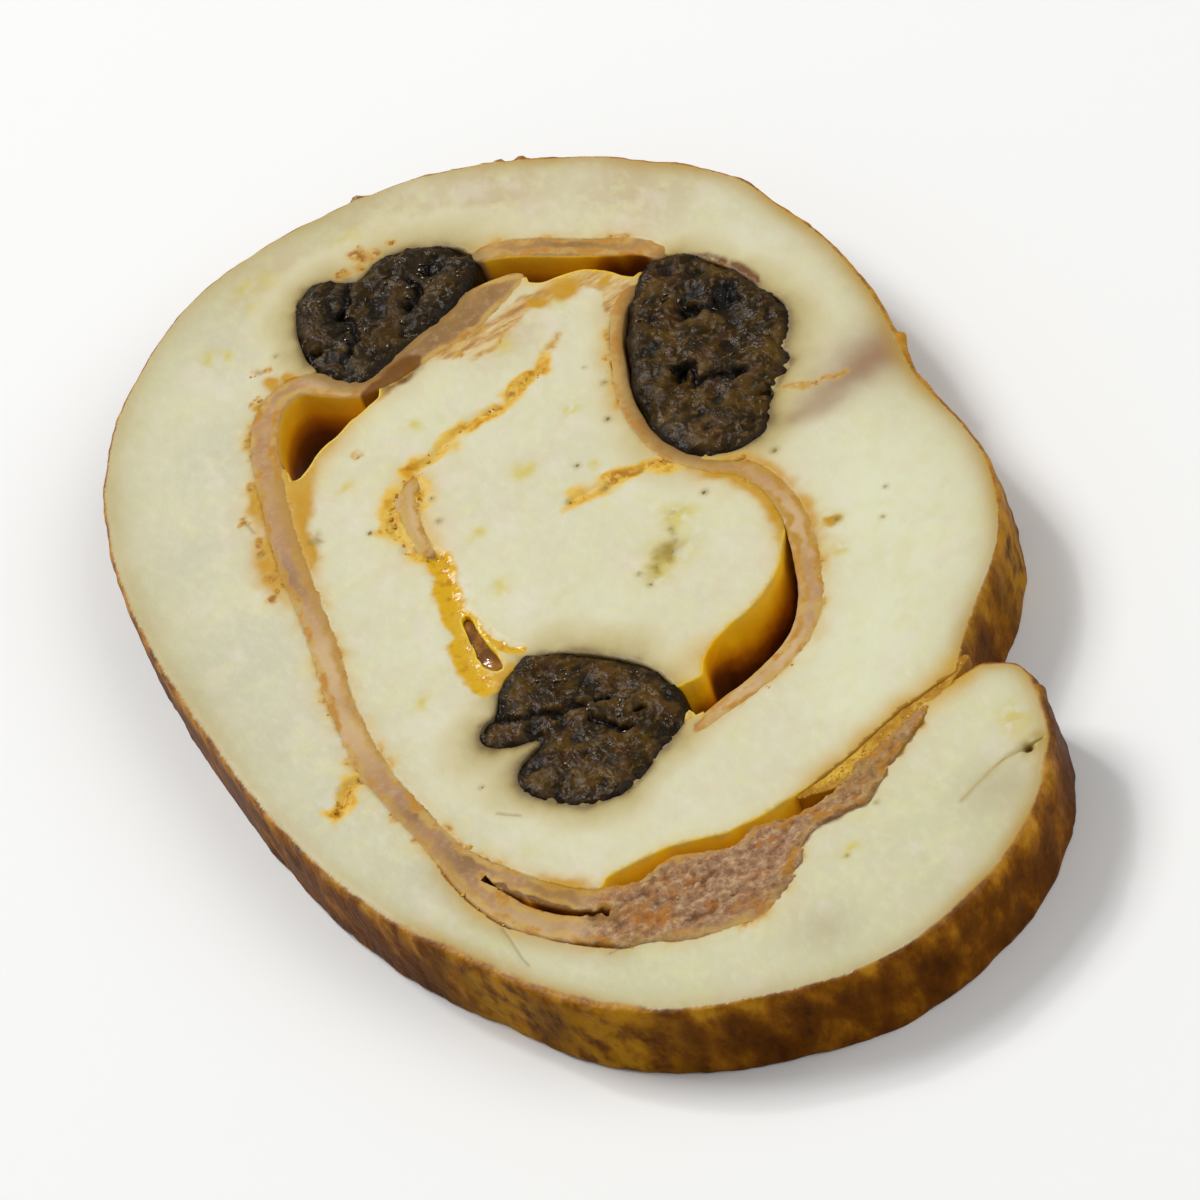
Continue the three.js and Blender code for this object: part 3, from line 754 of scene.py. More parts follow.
def meat_facts(xy, z, part):
    """What the meat's finish reads: where skin, hollows, stains, jelly, fat and blush lie."""
    x, y = xy.T
    wall = part == 1
    ragged = wobbled(xy, 0.4, 1.4, 30)
    to_skin = nearest(xy, skin_rim)
    to_hollow = nearest(xy, hollow_rim)
    golden = marks(xy, GOLDEN_RIM)
    rich = marks(xy, RICH_HOLLOW)
    crust = marks(wobbled(xy, 0.5, 1.5, 35), CRUST)
    gilded = marks(xy, GILDED)
    rim_width = 0.22 + 0.09 * rough(x, y, 2.5, 34) + 0.08 * golden + 0.6 * crust
    patchy = smooth(-0.5, 0.5, rough(x, y, *STAIN_PATCHES))
    juice_reach = 5.2 + 2 * rough(x, y, 4.5, 49, 2)
    to_ham = nearest(ragged, ham_rim)
    beside = np.exp(-to_ham / (0.7 + 0.5 * gilded))
    gilt_width = 1 + marks(xy, WIDE_GILT)
    flecks = np.exp(-to_ham / 0.6) * patchy
    patches = 0.5 + 0.5 * smooth(-0.6, 0.3, noise(x, y, 1.7, 38))
    faint = 0.75 * near(ragged, faint_line, 0.6)
    spots = marks(wobbled(xy, 0.35, 0.8, 44), PAPRIKA_SPOTS)
    crack = near(xy, crack_line, 0.24) * (0.6 + 0.4 * marks(xy, CRACK_GOLD))
    blush = strokes(wobbled(xy, 0.5, 3, 46), [BLUSH_STROKE]) * (0.6 + 0.4 * smooth(21, 31, x))
    return {
        "skin": np.where(wall, smooth(1.4, 0.7, to_skin), fade(to_skin, rim_width)),
        "glow": fade(to_skin, 1.3) * (0.35 + 0.65 * golden),
        "dull": np.exp(-to_skin / 3) * (0.45 + 0.55 * marks(xy, DULL_RIM)),
        "tanned": marks(wobbled(xy, 1, 3, 37), TANNED_SKIN),
        "skin_shade": marks(wobbled(xy, 1, 3, 39), SHADED_SKIN),
        "hollow": np.where(wall, smooth(1.3, 0.7, to_hollow), 0),
        "gold": np.exp(-to_hollow / (0.5 + 0.9 * rich)),
        "rich": rich,
        "beside": beside * np.minimum(0.5 + 0.6 * patchy + 0.6 * gilded, 1),
        "core": np.exp(-nearest(xy, core_rim) / 0.95),
        "prune": np.clip(1 - nearest(wobbled(xy, 0.2, 1.2, 48), prune_rim) / juice_reach, 0, 1),
        "stain": np.maximum.reduce([flecks, faint, spots]),
        "seam": near(wobbled(xy, 0.7, 1.5, 31), seam_line, 0.95) * patches,
        "band": band_share(xy),
        "gilt": np.maximum.reduce([marks(ragged, GILT), 0.95 * strokes(ragged, [GILT_STROKE]),
                                   gilded * fade(to_ham, gilt_width)]),
        "jelly": np.maximum(near(ragged, jelly_line, 1.15), near(ragged, fork_line, 0.55)),
        "crack": np.maximum(crack, marks(ragged, CRACK_GOLD)),
        "hole_shade": marks(xy, CRACK_HOLES),
        "scratch": near(xy, scratch_line, 0.16),
        "herb": np.maximum(0.8 * marks(xy, HERB_FLECKS),
                           0.85 * marks(wobbled(xy, 0.5, 1, 47), HERB_SMEARS)),
        "yellow": marks(wobbled(xy, 0.6, 1.8, 40), YELLOW_PATCHES),
        "blush": np.maximum(blush, 0.3 * marks(xy, FAINT_BLUSH)),
        **shared_facts(xy, z, part),
        **{tone: marks(xy, spots) for tone, spots in MEAT_PATCHES.items()},
    }


HAM_LUMPS = (1.7, 44)         # the size and the seed of the lump's crumbs
LUMP_MIDDLE = [[-9, -36.5], [-3, -37.5], [3, -35.8]]      # along the crumbled lump of ham
FILLING_GROWS = 0.45          # a filling reaches out under the meat's edge
PRUNE_GROWS = 0.42


def filling_wall(rim, level):
    """A filling's wall: it rounds off at both faces and is slightly uneven."""
    x, y = rim.T
    uneven = 0.05 * rough(x, y, 1.5, 60, 2) + 0.04 * noise(x + 6 * level, y - 6 * level, 1.8, 62)
    torn = ham_lump(rim) * (0.35 * (lumps(x, y, 1.3, 61) - 0.5) + 0.1 * rough(x, y, 0.8, 63, 2))
    return 0.08 * rounding(level, 0.08) + uneven + torn - FILLING_GROWS


def prune_wall(rim, level):
    """A prune's wall: softly bulging, rounded off at both faces."""
    x, y = rim.T
    bulges = 0.22 * (lumps(x, y, 2.3, 68) - 0.5) + 0.04 * noise(x, y, 1.2, 69)
    return 0.3 * rounding(level, 0.12) + bulges - PRUNE_GROWS


def filling_back(xy):
    """The back of a filling: nearly flat, never below the floor."""
    return 0.02 * (1 + noise(*xy.T, 3, 64))


def ham_lump(xy):
    """1 in the crumbled lump at the bottom, 0 in the strips."""
    line = on_face([[[-13.5, -35], *LUMP_MIDDLE, [12, -33.2]]])
    return smooth(6, 2.5, nearest(xy, line)) * smooth(-29.5, -31.5, xy[:, 1] - ROLL_MIDDLE[1])


def ham_top(xy, d):
    """The height of a cut ham edge: faintly layered in the strips, crumbly in the lump."""
    x, y = xy.T
    strip = 0.03 * noise(x, y, 4, 40) + 0.03 * rough(x, y, 0.9, 41)
    crumbly = 0.6 - 0.45 * lumps(x, y, *HAM_LUMPS) - 0.4 * lumps(x, y, 0.8, 45)
    crumbly = crumbly - 0.2 * lumps(x, y, 0.45, 47)
    torn = ham_lump(xy)
    grain = (1 - torn) * strip + torn * (crumbly + 0.3 * noise(x, y, 4, 46))
    return FACE - 0.02 + swell(x, y) + grain - 0.12 * np.exp(-d / 0.2)


def lump_details():
    """Extra points over the crumbled lump."""
    places = on_face([[[-14, -35], *LUMP_MIDDLE, [12, -33]]])
    points = around(places, np.random.default_rng(8).uniform(-1, 1, (len(places), 60, 2)) * [0.6, 5])
    _, kept = np.unique(np.floor(points / 0.17), axis=0, return_index=True)
    return points[kept]


def ham_facts_of(node):
    """What the ham's finish reads: its edges, tones, lump with painted shade in its creases, and
    depth in the hollows.
    """
    rim = np.vstack(ham_plans[node])

    def facts(xy, z, part):
        torn = ham_lump(xy)
        return {
            "open": smooth(0.6, 1.1, nearest(xy, np.vstack([meat_rim, prune_rim]))),
            "edge": np.exp(-nearest(wobbled(xy, 0.4, 1.3, 66), rim) / 0.36),
            "lump": torn,
            "crease_shade": torn * smooth(0.5, 0.85, lumps(*xy.T, *HAM_LUMPS)),
            "rusty": marks(wobbled(xy, 0.4, 1.2, 65), RUSTY_HAM),
            "gilded": np.maximum(marks(xy, GILDED), strokes(xy, [GILT_STROKE])),
            "gilt": strokes(wobbled(xy, 0.3, 1.3, 74), HAM_GILT),
            "prune": np.clip(1 - nearest(xy, prune_rim) / 2.2, 0, 1),
            **shared_facts(xy, z, part),
            **{tone: marks(xy, spots) for tone, spots in HAM_PATCHES.items()},
        }
    return facts


def prune_dents(node, xy, reach):
    """A prune's creases, fading out over a reach, and its holes."""
    crease = near(wobbled(xy, 0.3, 1.1, 57), on_face(PRUNE_CREASES[node]), reach)
    return crease, marks(wobbled(xy, 0.3, 1.0, 58), PRUNE_HOLES[node])


def pulp_folds(xy):
    """Where a prune's folds run: wobbled places, and the ridges there."""
    x, y = wobbled(xy, 0.4, 2.2, 50).T
    return x, y, ridges(x, y, 1.9, 53)


def prune_top_of(node):
    """The height of a cut prune: a low dome of soft folds and fine wrinkles, with creases and
    holes, and an edge that rolls under."""
    def height(xy, d):
        x, y, ridge = pulp_folds(xy)
        dome = 0.3 * smooth(0, 2, d) - 0.45 * np.exp(-d / 0.4)
        folds = 0.3 * noise(x, y, 2.8, 52) + 0.22 * ridge
        wrinkles = 0.12 * ridges(0.7 * x + 0.7 * y, 0.45 * (y - x), 0.62, 55)
        crease, hole = prune_dents(node, xy, 0.32)
        pulp = THICKNESS - 0.05 + dome + folds + wrinkles - 0.7 * crease - 1.1 * hole
        return np.minimum(pulp, THICKNESS + 0.5)
    return height


def prune_facts_of(node):
    """What a prune's finish reads: where painted shade darkens its creases, holes and the valleys
    between its folds, and its skin round the edge.
    """
    rim = np.vstack(prune_plans[node])

    def facts(xy, z, part):
        crease, hole = prune_dents(node, xy, 0.45)
        valley = 0.7 * smooth(0.1, -0.7, pulp_folds(xy)[2])
        return {
            "pit_shade": np.clip(crease + hole + valley, 0, 1),
            "peel": np.where(part == 1, 1, np.exp(-nearest(xy, rim) / 0.55)),
            "cool": np.full(len(xy), float(node == "prune_top")),
        }
    return facts


# Finishes

def linear(tone):
    """A screen colour, numbers from 0 to 255, as the shader wants it; a socket stays as it is."""
    if isinstance(tone, bpy.types.NodeSocket):
        return tone
    share = np.array(tone) / 255
    value = np.where(share <= 0.04045, share / 12.92, ((share + 0.055) / 1.055) ** 2.4)
    return (*value.tolist(), 1)


class Finish:
    """A material's nodes, with short calls for what these finishes use. A value is a number, a
    socket or the name of a fact; a tone is a screen colour or a socket."""

    def __init__(self, name, **shader):
        self.material = bpy.data.materials.new(name)
        self.material.use_nodes = True
        self.nodes = self.material.node_tree.nodes
        self.shader = self.nodes["Principled BSDF"]
        for socket, value in shader.items():
            self.shader.inputs[socket.replace("_", " ")].default_value = value
        self.place = self.node("TexCoord", {})["Object"]
        self.base = None

    def node(self, kind, inputs, **settings):
        """A new node, its settings made and its inputs put by name or number. Returns its outputs."""
        node = self.nodes.new("ShaderNode" + kind)
        for setting, value in settings.items():
            setattr(node, setting, value)
        for socket, value in inputs.items():
            self.put(value, node.inputs[socket])
        return node.outputs

    def put(self, value, socket):
        """Links a socket to a fact or to another socket, or sets a plain value."""
        if isinstance(value, str):
            value = self.node("Attribute", {}, attribute_name=value)["Fac"]
        if isinstance(value, bpy.types.NodeSocket):
            self.material.node_tree.links.new(value, socket)
        else:
            socket.default_value = value

    def grain(self, size, detail=3, roughness=0.5, stretch=(1, 1, 1), turn=0):
        """Noise, as a value about 0.5, whose features have a size in millimetres."""
        turned = self.node("Mapping", {"Vector": self.place, "Rotation": (0, 0, turn), "Scale": stretch})
        return self.node("TexNoise", {"Vector": turned["Vector"], "Scale": 1 / (size * MM),
                                      "Detail": detail, "Roughness": roughness})["Fac"]

    def rise(self, value, low, high):
        """0 at low, 1 at high, smooth between."""
        inputs = {"Value": value, "From Min": low, "From Max": high}
        return self.node("MapRange", inputs, interpolation_type="SMOOTHSTEP")["Result"]

    def math(self, kind, a, b):
        """The sum, difference or product of two values."""
        return self.node("Math", {0: a, 1: b}, operation=kind)[0]

    def times(self, *values):
        """The product of the values."""
        product = values[0]
        for value in values[1:]:
            product = self.math("MULTIPLY", product, value)
        return product

    def ramp(self, value, stops):
        """Colours at values, blended between."""
        node = self.nodes.new("ShaderNodeValToRGB")
        elements = node.color_ramp.elements
        while len(elements) < len(stops):
            elements.new(0.5)
        for element, (at, tone) in zip(elements, stops):
            element.position = at
            element.color = linear(tone)
        self.put(value, node.inputs["Fac"])
        return node.outputs["Color"]

    def over(self, tone, *shares):
        """Lays a tone over the base, by the product of the shares."""
        inputs = {0: self.times(*shares), 6: linear(self.base), 7: linear(tone)}
        self.base = self.node("Mix", inputs, data_type="RGBA")[2]

    def bump(self, height, distance, strength=1.0, over=None):
        """Fine relief, on top of another where one is given."""
        inputs = {"Distance": distance * MM, "Strength": strength, "Height": height}
        if over is not None:
            inputs["Normal"] = over
        return self.node("Bump", inputs)["Normal"]

    def done(self, roughness, normal):
        """Gives the shader its colour, roughness and relief."""
        for socket, value in {"Base Color": self.base, "Roughness": roughness, "Normal": normal}.items():
            self.put(value, self.shader.inputs[socket])
        return self.material


def meat_finish(name, gloss):
    """Moist cooked breast: cream with faint grain, stained by paprika along the ham and seams,
    golden down the hollows with painted shade further down, roasted at the skin."""
    f = Finish(name, Subsurface_Weight=0.25, Subsurface_Radius=(1.0, 0.75, 0.45),
               Subsurface_Scale=0.001, Specular_IOR_Level=gloss)
    f.base = (211, 208, 174)
    f.over((208, 203, 170), f.rise(f.grain(9, 2), 0.36, 0.66))
    f.over((194, 174, 136), "warm", 0.95)
    f.over((195, 193, 152), "green", 0.6)
    # Painted shade over the left side of the face.
    f.over((194, 191, 165), "shaded", 0.75)
    # Painted light over the lower right side of the face.
    f.over((219, 219, 186), "painted_light", 0.8)
    f.over((213, 209, 160), f.rise(f.grain(2.2, 4), 0.48, 0.68), 0.5)
    f.over((219, 209, 192), f.rise(f.grain(3, 4, 0.5, (1, 0.7, 1), 0.5), 0.52, 0.7), 0.45)
    f.over((208, 192, 164), f.rise(f.grain(3.4, 4), 0.5, 0.75), 0.4)
    f.over((196, 195, 146), f.rise(f.grain(2.6, 4), 0.54, 0.76), 0.3)
    f.over((222, 219, 194), f.rise(f.grain(0.8, 4, 0.5, (1, 0.6, 1), 0.9), 0.45, 0.7), 0.22)
    f.over((202, 184, 78), "yellow", f.rise(f.grain(1.4, 4), 0.3, 0.5), 0.85)
    f.over((176, 168, 120), "dull")
    juice = f.ramp("prune", [
        (0.16, (210, 204, 168)), (0.33, (208, 200, 163)), (0.5, (203, 193, 152)),
        (0.66, (195, 183, 135)), (0.75, (187, 173, 122)), (0.83, (178, 161, 106)),
        (0.9, (160, 140, 82)), (0.95, (132, 108, 54)), (1.0, (92, 68, 28))])
    f.over(juice, f.rise("prune", 0.0, 0.5), f.math("ADD", 0.7, f.times(f.grain(3), 0.4)))
    f.over((146, 110, 78), "blush", 0.95)
    f.over((176, 140, 54), "glow")
    spread = f.rise(f.grain(1.2, 4, 0.65), 0.36, 0.6)
    f.over((212, 174, 86), "core", 0.95)
    f.over((202, 168, 92), "beside")
    layer = f.ramp(f.grain(1.1, 5, 0.65, (0.28, 1, 1), 0.1), [
        (0.3, (124, 80, 30)), (0.43, (168, 118, 48)), (0.53, (200, 164, 98)),
        (0.63, (214, 194, 146)), (0.72, (182, 138, 66))])
    f.over(layer, f.rise("band", 0.1, 0.5), 0.9)
    f.over((190, 140, 14), f.rise("gilt", 0, 0.7))
    f.over((106, 66, 0), f.rise("rust", 0.1, 0.7), f.rise(f.grain(1, 4), 0.2, 0.45))
    f.over((208, 172, 80), f.rise("stain", 0.1, 0.85), 0.5)
    f.over((184, 132, 28), f.rise("stain", 0.3, 0.95), spread)
    f.over((142, 84, 6), f.rise("stain", 0.5, 0.95), f.rise(f.grain(0.7), 0.48, 0.6), 0.8)
    f.over((220, 180, 64), f.rise("seam", 0.03, 0.5), 0.92)
    f.over((200, 146, 8), f.rise("seam", 0.3, 0.7), spread)
    f.over((166, 104, 6), f.rise("seam", 0.45, 0.9), f.rise(f.grain(0.9), 0.5, 0.6), 0.75)
    f.over((212, 166, 22), f.rise("jelly", 0.2, 0.6))
    f.over((184, 122, 8), "jelly", f.rise(f.grain(1.1), 0.5, 0.66), 0.8)
    f.over((140, 112, 0), "herb", f.rise(f.grain(0.9, 4), 0.15, 0.4))
    f.over((140, 120, 66), "scratch", 0.5)
    f.over((170, 146, 66), "crack")
    # Painted shade in the crack's hole.
    f.over((100, 68, 10), f.rise("hole_shade", 0.05, 0.6))
    f.over((212, 178, 78), "gold", 0.95)
    f.over((184, 136, 12), "gold", "rich")
    # The hollows' walls: golden at the top; painted shade darkens them further down and at the listed
    # places.
    lower = f.math("ADD", "depth", f.times("dark", 0.35))
    lower = f.math("ADD", lower, f.times(f.math("SUBTRACT", f.grain(2, 4), 0.5), 0.35))
    wall = f.ramp(lower, [
        (0.0, (228, 196, 92)), (0.06, (246, 204, 52)), (0.28, (244, 190, 20)),
        (0.44, (216, 146, 8)), (0.58, (160, 92, 4)), (0.74, (96, 48, 4)), (1.0, (60, 30, 6))])
    f.over(wall, f.rise("hollow", 0.15, 0.9))
    # Painted shade on the notch's walls.
    f.over((164, 118, 24), f.rise("notch", 0.1, 0.6))
    darker_below = f.times(f.rise("depth", 0, 0.45), 0.2)
    streaks = f.math("SUBTRACT", f.grain(2.6, 6, 0.6, (1, 1, 0.6)), darker_below)
    skin = f.ramp(streaks, [
        (0.12, (66, 32, 2)), (0.34, (104, 58, 4)), (0.46, (138, 84, 8)),
        (0.62, (184, 130, 26))])
    f.over(skin, f.rise("skin", 0.2, 0.75))
    f.over((184, 130, 14), f.rise("skin", 0.5, 1), "tanned", f.rise(f.grain(1.6, 5), 0.3, 0.62), 0.75)
    # Painted shade on the skin at the lobe's lower right.
    f.over((72, 36, 0), f.rise("skin", 0.5, 1), "skin_shade", 0.85)
    wet = f.times(f.rise("jelly", 0.3, 0.7), 0.28)
    roughness = f.math("SUBTRACT", f.math("ADD", 0.34, f.times(f.grain(2.5), 0.25)), wet)
    normal = f.bump(f.grain(0.5, 4, 0.5, (1, 0.5, 1), 0.9), 0.06, 0.5)
    normal = f.bump(f.times("skin", f.grain(0.7, 4)), 0.3, 0.8, normal)
    normal = f.bump(f.times("jelly", f.grain(1.2, 2)), 0.35, 0.8, normal)
    return f.done(roughness, normal)


def ham_finish():
    """Moist ham: dull mauve pink, paler and golden along its edges, golden in a hollow, where
    painted shade darkens it further down.
    """
    f = Finish("ham_cut", Subsurface_Weight=0.2, Subsurface_Radius=(1.0, 0.5, 0.35),
               Subsurface_Scale=0.0008, Specular_IOR_Level=0.16)
    f.base = (172, 130, 86)
    f.over((185, 146, 100), f.rise(f.grain(2.4), 0.38, 0.66))
    f.over((204, 174, 128), "pale", 0.85)
    f.over((170, 133, 106), "mauve", 0.9)
    f.over((132, 98, 56), "brown", 0.9)
    f.over((200, 174, 134), f.rise(f.grain(0.7), 0.5, 0.7), 0.25)
    lumpy = f.ramp(f.grain(0.8, 5, 0.7), [
        (0.36, (130, 88, 54)), (0.45, (158, 118, 88)), (0.53, (174, 138, 106)),
        (0.62, (206, 172, 126))])
    f.over(lumpy, "lump", 0.85)
    f.over((178, 110, 34), "lump", f.rise(f.grain(2.2, 4, 0.65), 0.53, 0.64), 0.8)
    f.over((164, 122, 52), "tawny", 0.65)
    # Painted shade in the creases between the lump's crumbs.
    f.over((88, 52, 22), "crease_shade", 0.8)
    f.over((172, 112, 34), "rusty", f.rise(f.grain(1, 4, 0.6), 0.44, 0.58), 0.75)
    whole = f.math("SUBTRACT", 0.9, f.times("lump", 0.6))
    f.over((192, 157, 86), f.rise("edge", 0.14, 0.6), whole)
    f.over((180, 124, 40), f.rise("edge", 0.16, 0.6), f.rise(f.grain(2.8, 4, 0.6), 0.44, 0.58), 0.9)
    f.over((176, 132, 50), f.rise("edge", 0.12, 0.6), "gilded")
    f.over((174, 134, 68), "gilt", 0.9)
    f.over((128, 98, 56), f.rise("prune", 0.2, 0.9), 0.75)
    # A hollow's wall: golden at the top; painted shade darkens it further down and at the listed places.
    wall = f.ramp(f.math("ADD", "depth", f.times("dark", 0.6)), [
        (0.0, (206, 174, 92)), (0.06, (238, 190, 44)), (0.28, (238, 178, 20)),
        (0.42, (190, 118, 8)), (0.6, (124, 66, 6)), (1.0, (60, 30, 6))])
    f.over(wall, f.rise("depth", 0.012, 0.05), "open")
    # Painted shade on the notch's walls.
    f.over((164, 116, 24), f.rise("notch", 0.1, 0.6))
    f.over((106, 62, 0), f.rise("rust", 0.15, 0.7), 0.9)
    roughness = f.math("ADD", 0.3, f.times(f.math("ADD", f.grain(1.5), f.times("lump", 0.6)), 0.3))
    normal = f.bump(f.times("lump", f.grain(0.4, 4, 0.7)), 0.3, 0.8)
    return f.done(roughness, f.bump(f.grain(0.5, 4), 0.08, 0.6, normal))


def prune_finish():
    """Cooked prune: glossy dark brown pulp with painted highlight flecks, painted shade in its pits
    and creases, darker round the edge.
    """
    f = Finish("prune_pulp", Specular_IOR_Level=0.14)
    f.base = (40, 26, 0)
    f.over((80, 56, 8), f.rise(f.grain(2.6, 4, 0.6), 0.42, 0.62))
    f.over((68, 38, 12), f.rise(f.grain(2.8), 0.52, 0.66), 0.6)
    # Small light flecks: painted highlights on the pulp.
    f.over((104, 80, 44), f.rise(f.grain(0.6), 0.54, 0.68), 0.7)
    # Painted shade in the creases, holes and valleys between folds.
    f.over((14, 8, 3), f.rise("pit_shade", 0.2, 0.9))
    f.over((26, 22, 14), "cool", 0.35)
    f.over((30, 20, 5), f.rise("peel", 0.1, 0.9))
    normal = f.bump(f.grain(0.5, 4, 0.6), 0.16, 0.8)
    normal = f.bump(f.grain(1.2, 3, 0.6, (1, 0.5, 1), 0.6), 0.3, 0.7, normal)
    return f.done(f.math("ADD", 0.15, f.times(f.rise(f.grain(1.6), 0.4, 0.62), 0.25)), normal)


def wet_finish(name, dark, light, roughness=0.16):
    """Wet pulp or jelly: glossy, mottled from dark to light."""
    f = Finish(name, Specular_IOR_Level=0.7)
    f.base = dark
    f.over(light, f.rise(f.grain(1.6, 2), 0.42, 0.62))
    return f.done(roughness, f.bump(f.grain(0.6, 2), 0.12, 0.6))


def crumb_finish(name, dark, light, roughness=0.4, gloss=0.5):
    """Crumbs of one kind, each with its own tone between a dark and a light one."""
    f = Finish(name, Subsurface_Weight=0.1, Subsurface_Radius=(1.0, 0.6, 0.3), Subsurface_Scale=0.0004,
               Specular_IOR_Level=gloss)
    f.base = dark
    f.over(light, "tint")
    f.over(dark, f.rise(f.grain(0.3), 0.45, 0.65), 0.4)
    return f.done(roughness, f.bump(f.grain(0.15), 0.05, 0.6))


LOOKS_UP = 0.4                # how steeply a face's normal rises, where it counts as the top's


def second_finish(piece, finish):
    """Gives the faces that don't look up another finish."""
    piece.data.materials.append(finish)
    normals = np.empty(3 * len(piece.data.polygons))
    piece.data.polygons.foreach_get("normal", normals)
    piece.data.polygons.foreach_set("material_index", (normals[2::3] < LOOKS_UP).astype(int))


def keep(piece, finish, slot, *nodes):
    """Gives a piece its finish and its body, and hides the CAD nodes that it stands for."""
    piece.data.materials.append(finish)
    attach(piece, "root")
    if nodes:
        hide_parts(*nodes)
    return piece


# Meat, ham and prunes

finer = np.vstack([rim_details(), crack_details(), band_details()])
meat = slab("turkey_slice", meat_plan, MEAT_STEP, meat_top, meat_back, meat_wall, meat_facts, finer)
keep(meat, meat_finish("turkey_meat", 0.3), "turkey", "turkey")
second_finish(meat, meat_finish("turkey_skin", 0.03))

ham_look = ham_finish()
for node, plan in ham_plans.items():
    crumbly = lump_details() if node == "ham_outer" else None
    strip = slab(f"{node}_strip", plan, HAM_STEP, ham_top, filling_back, filling_wall,
                 ham_facts_of(node), crumbly, FILLING_BACK_STEP)
    keep(strip, ham_look, "ham", node)

prune_look = prune_finish()
for node, plan in prune_plans.items():
    prune = slab(f"{node}_half", plan, FINE_STEP, prune_top_of(node), filling_back, prune_wall,
                 prune_facts_of(node), None, FILLING_BACK_STEP)
    keep(prune, prune_look, "prune", node)


def pool_top(xy, d):
    """The jelly's softly uneven level, a little below the face."""
    return FACE - 0.75 + 0.15 * noise(*xy.T, 1.5, 80)


def pool_back(xy):
    """The jelly's flat underside."""
    return np.full(len(xy), FACE - 2.5)


def pool_wall(rim, level):
    """The jelly reaches into the meat all round, so that no gap shows."""
    return np.full(len(rim), -0.25)


def upright(rim, level):
    """A plain upright wall."""
    return np.zeros(len(rim))


# Golden jelly fills the narrow slit below the face; its dark brown is partly painted shade for the slit's
# depth.
slit = min(meat_plan, key=lambda loop: abs(signed_area(loop)))[::-1]
pool = slab("jelly_and_shade_pool", [slit], 0.25, pool_top, pool_back, pool_wall, lambda xy, z, part: {})
keep(pool, wet_finish("slit_jelly_and_shade", (104, 60, 0), (156, 104, 4)), "turkey")


def ribbon(line, half_widths):
    """A closed loop round an open line: along its right side and back along its left."""
    places = along(line, 0.4) + ROLL_MIDDLE
    way = np.gradient(places, axis=0)
    way /= np.hypot(*way.T)[:, None]
    width = np.interp(np.linspace(0, 1, len(places)), np.linspace(0, 1, len(half_widths)), half_widths)
    aside = np.column_stack([-way[:, 1], way[:, 0]]) * width[:, None]
    return np.vstack([places - aside, (places + aside)[::-1]])


def crust_top(xy, d):
    """The crust's grainy face, just under the meat's."""
    x, y = wobbled(xy, 0.3, 1.2, 82).T
    grains = 0.07 * lumps(x, y, 0.7, 83) + 0.05 * lumps(x, y, 0.4, 85)
    return FACE - 0.1 - grains + swell(*xy.T)


def crust_back(xy):
    """The crust's back: deep in the notch, rising towards the crust's narrow right end."""
    return FACE - CRUST_DEPTH + 3 * smooth(18, 20.5, xy[:, 0])


def crust_facts(xy, z, part):
    """The crust's tone: rough patches, darker with painted shade where it lies deep."""
    return {"tint": np.clip(0.6 + 0.5 * rough(*xy.T, 1.5, 86) - marks(xy, CRUST_SHADE), 0, 1)}


# Golden crust fills the notch where the lobe lies against the roll.
crust_plan = [evenly(ribbon(GOLD_CRUST, CRUST_WIDTHS), 0.3)]
crust = slab("golden_crust", crust_plan, FINE_STEP, crust_top, crust_back, upright, crust_facts)


# What lies on the cut face

def scattered(line, count, spread, seed):
    """Random places near a line, thickest on it."""
    random = np.random.default_rng(seed)
    at = random.integers(0, len(line), count)
    return line[at] + random.normal(0, spread, (count, 2))


def inland(top, xy):
    """The height of a top at places well inside its edge."""
    return top(xy, np.full(len(xy), 2))


def on_meat(places):
    """Keeps the places that lie on the meat or a filling, not over a hollow or past the edge."""
    plans = [meat_plan, *ham_plans.values()]
    return places[np.any([inside(places, plan) for plan in plans], axis=0)]


def sizes_between(low, high, count, seed):
    """Random radii, most of them near the low one."""
    return low + (high - low) * np.random.default_rng(seed).uniform(0, 1, count) ** 2


def shreds(name, places, ways, lengths, widths, heights, seed):
    """Torn fibres, joined in one mesh: each a thin leaf whose ring of four corners is carried
    along a slightly bowed line, widest in the middle and pointed at both ends."""
    random = np.random.default_rng(seed)
    count, at = len(places), np.linspace(0, 1, 7)
    fullness = np.sin(np.pi * np.clip(at, 0.03, 0.97)) ** 0.7
    bow = random.uniform(-0.07, 0.07, count)[:, None] * lengths[:, None] * np.sin(np.pi * at)
    run = (at - 0.5) * lengths[:, None]
    half = widths[:, None] * fullness * random.uniform(0.7, 1.3, (count, len(at)))
    ring = np.array([[-1, 0], [0, 1], [1, 0], [0, -1]])
    aside = bow[..., None] + half[..., None] * ring[:, 0]
    rise = 0.1 * fullness[:, None] * ring[:, 1] + 0.12 * np.sin(np.pi * at)[:, None]
    cos, sin = np.cos(ways)[:, None, None], np.sin(ways)[:, None, None]
    x = places[:, 0, None, None] + run[..., None] * cos - aside * sin
    y = places[:, 1, None, None] + run[..., None] * sin + aside * cos
    z = heights[:, None, None] + rise[None]
    faces = []
    for low in range(0, 4 * (len(at) - 1), 4):
        for side in range(4):
            a, b = low + side, low + (side + 1) % 4
            faces += [[a, a + 4, b + 4], [a, b + 4, b]]
    last = 4 * (len(at) - 1)
    faces += [[0, 1, 2], [0, 2, 3], [last, last + 2, last + 1], [last, last + 3, last + 2]]
    leaves = np.stack([x, y, z], 3).reshape(count, -1, 3)
    return joined(name, leaves, np.array(faces), random)


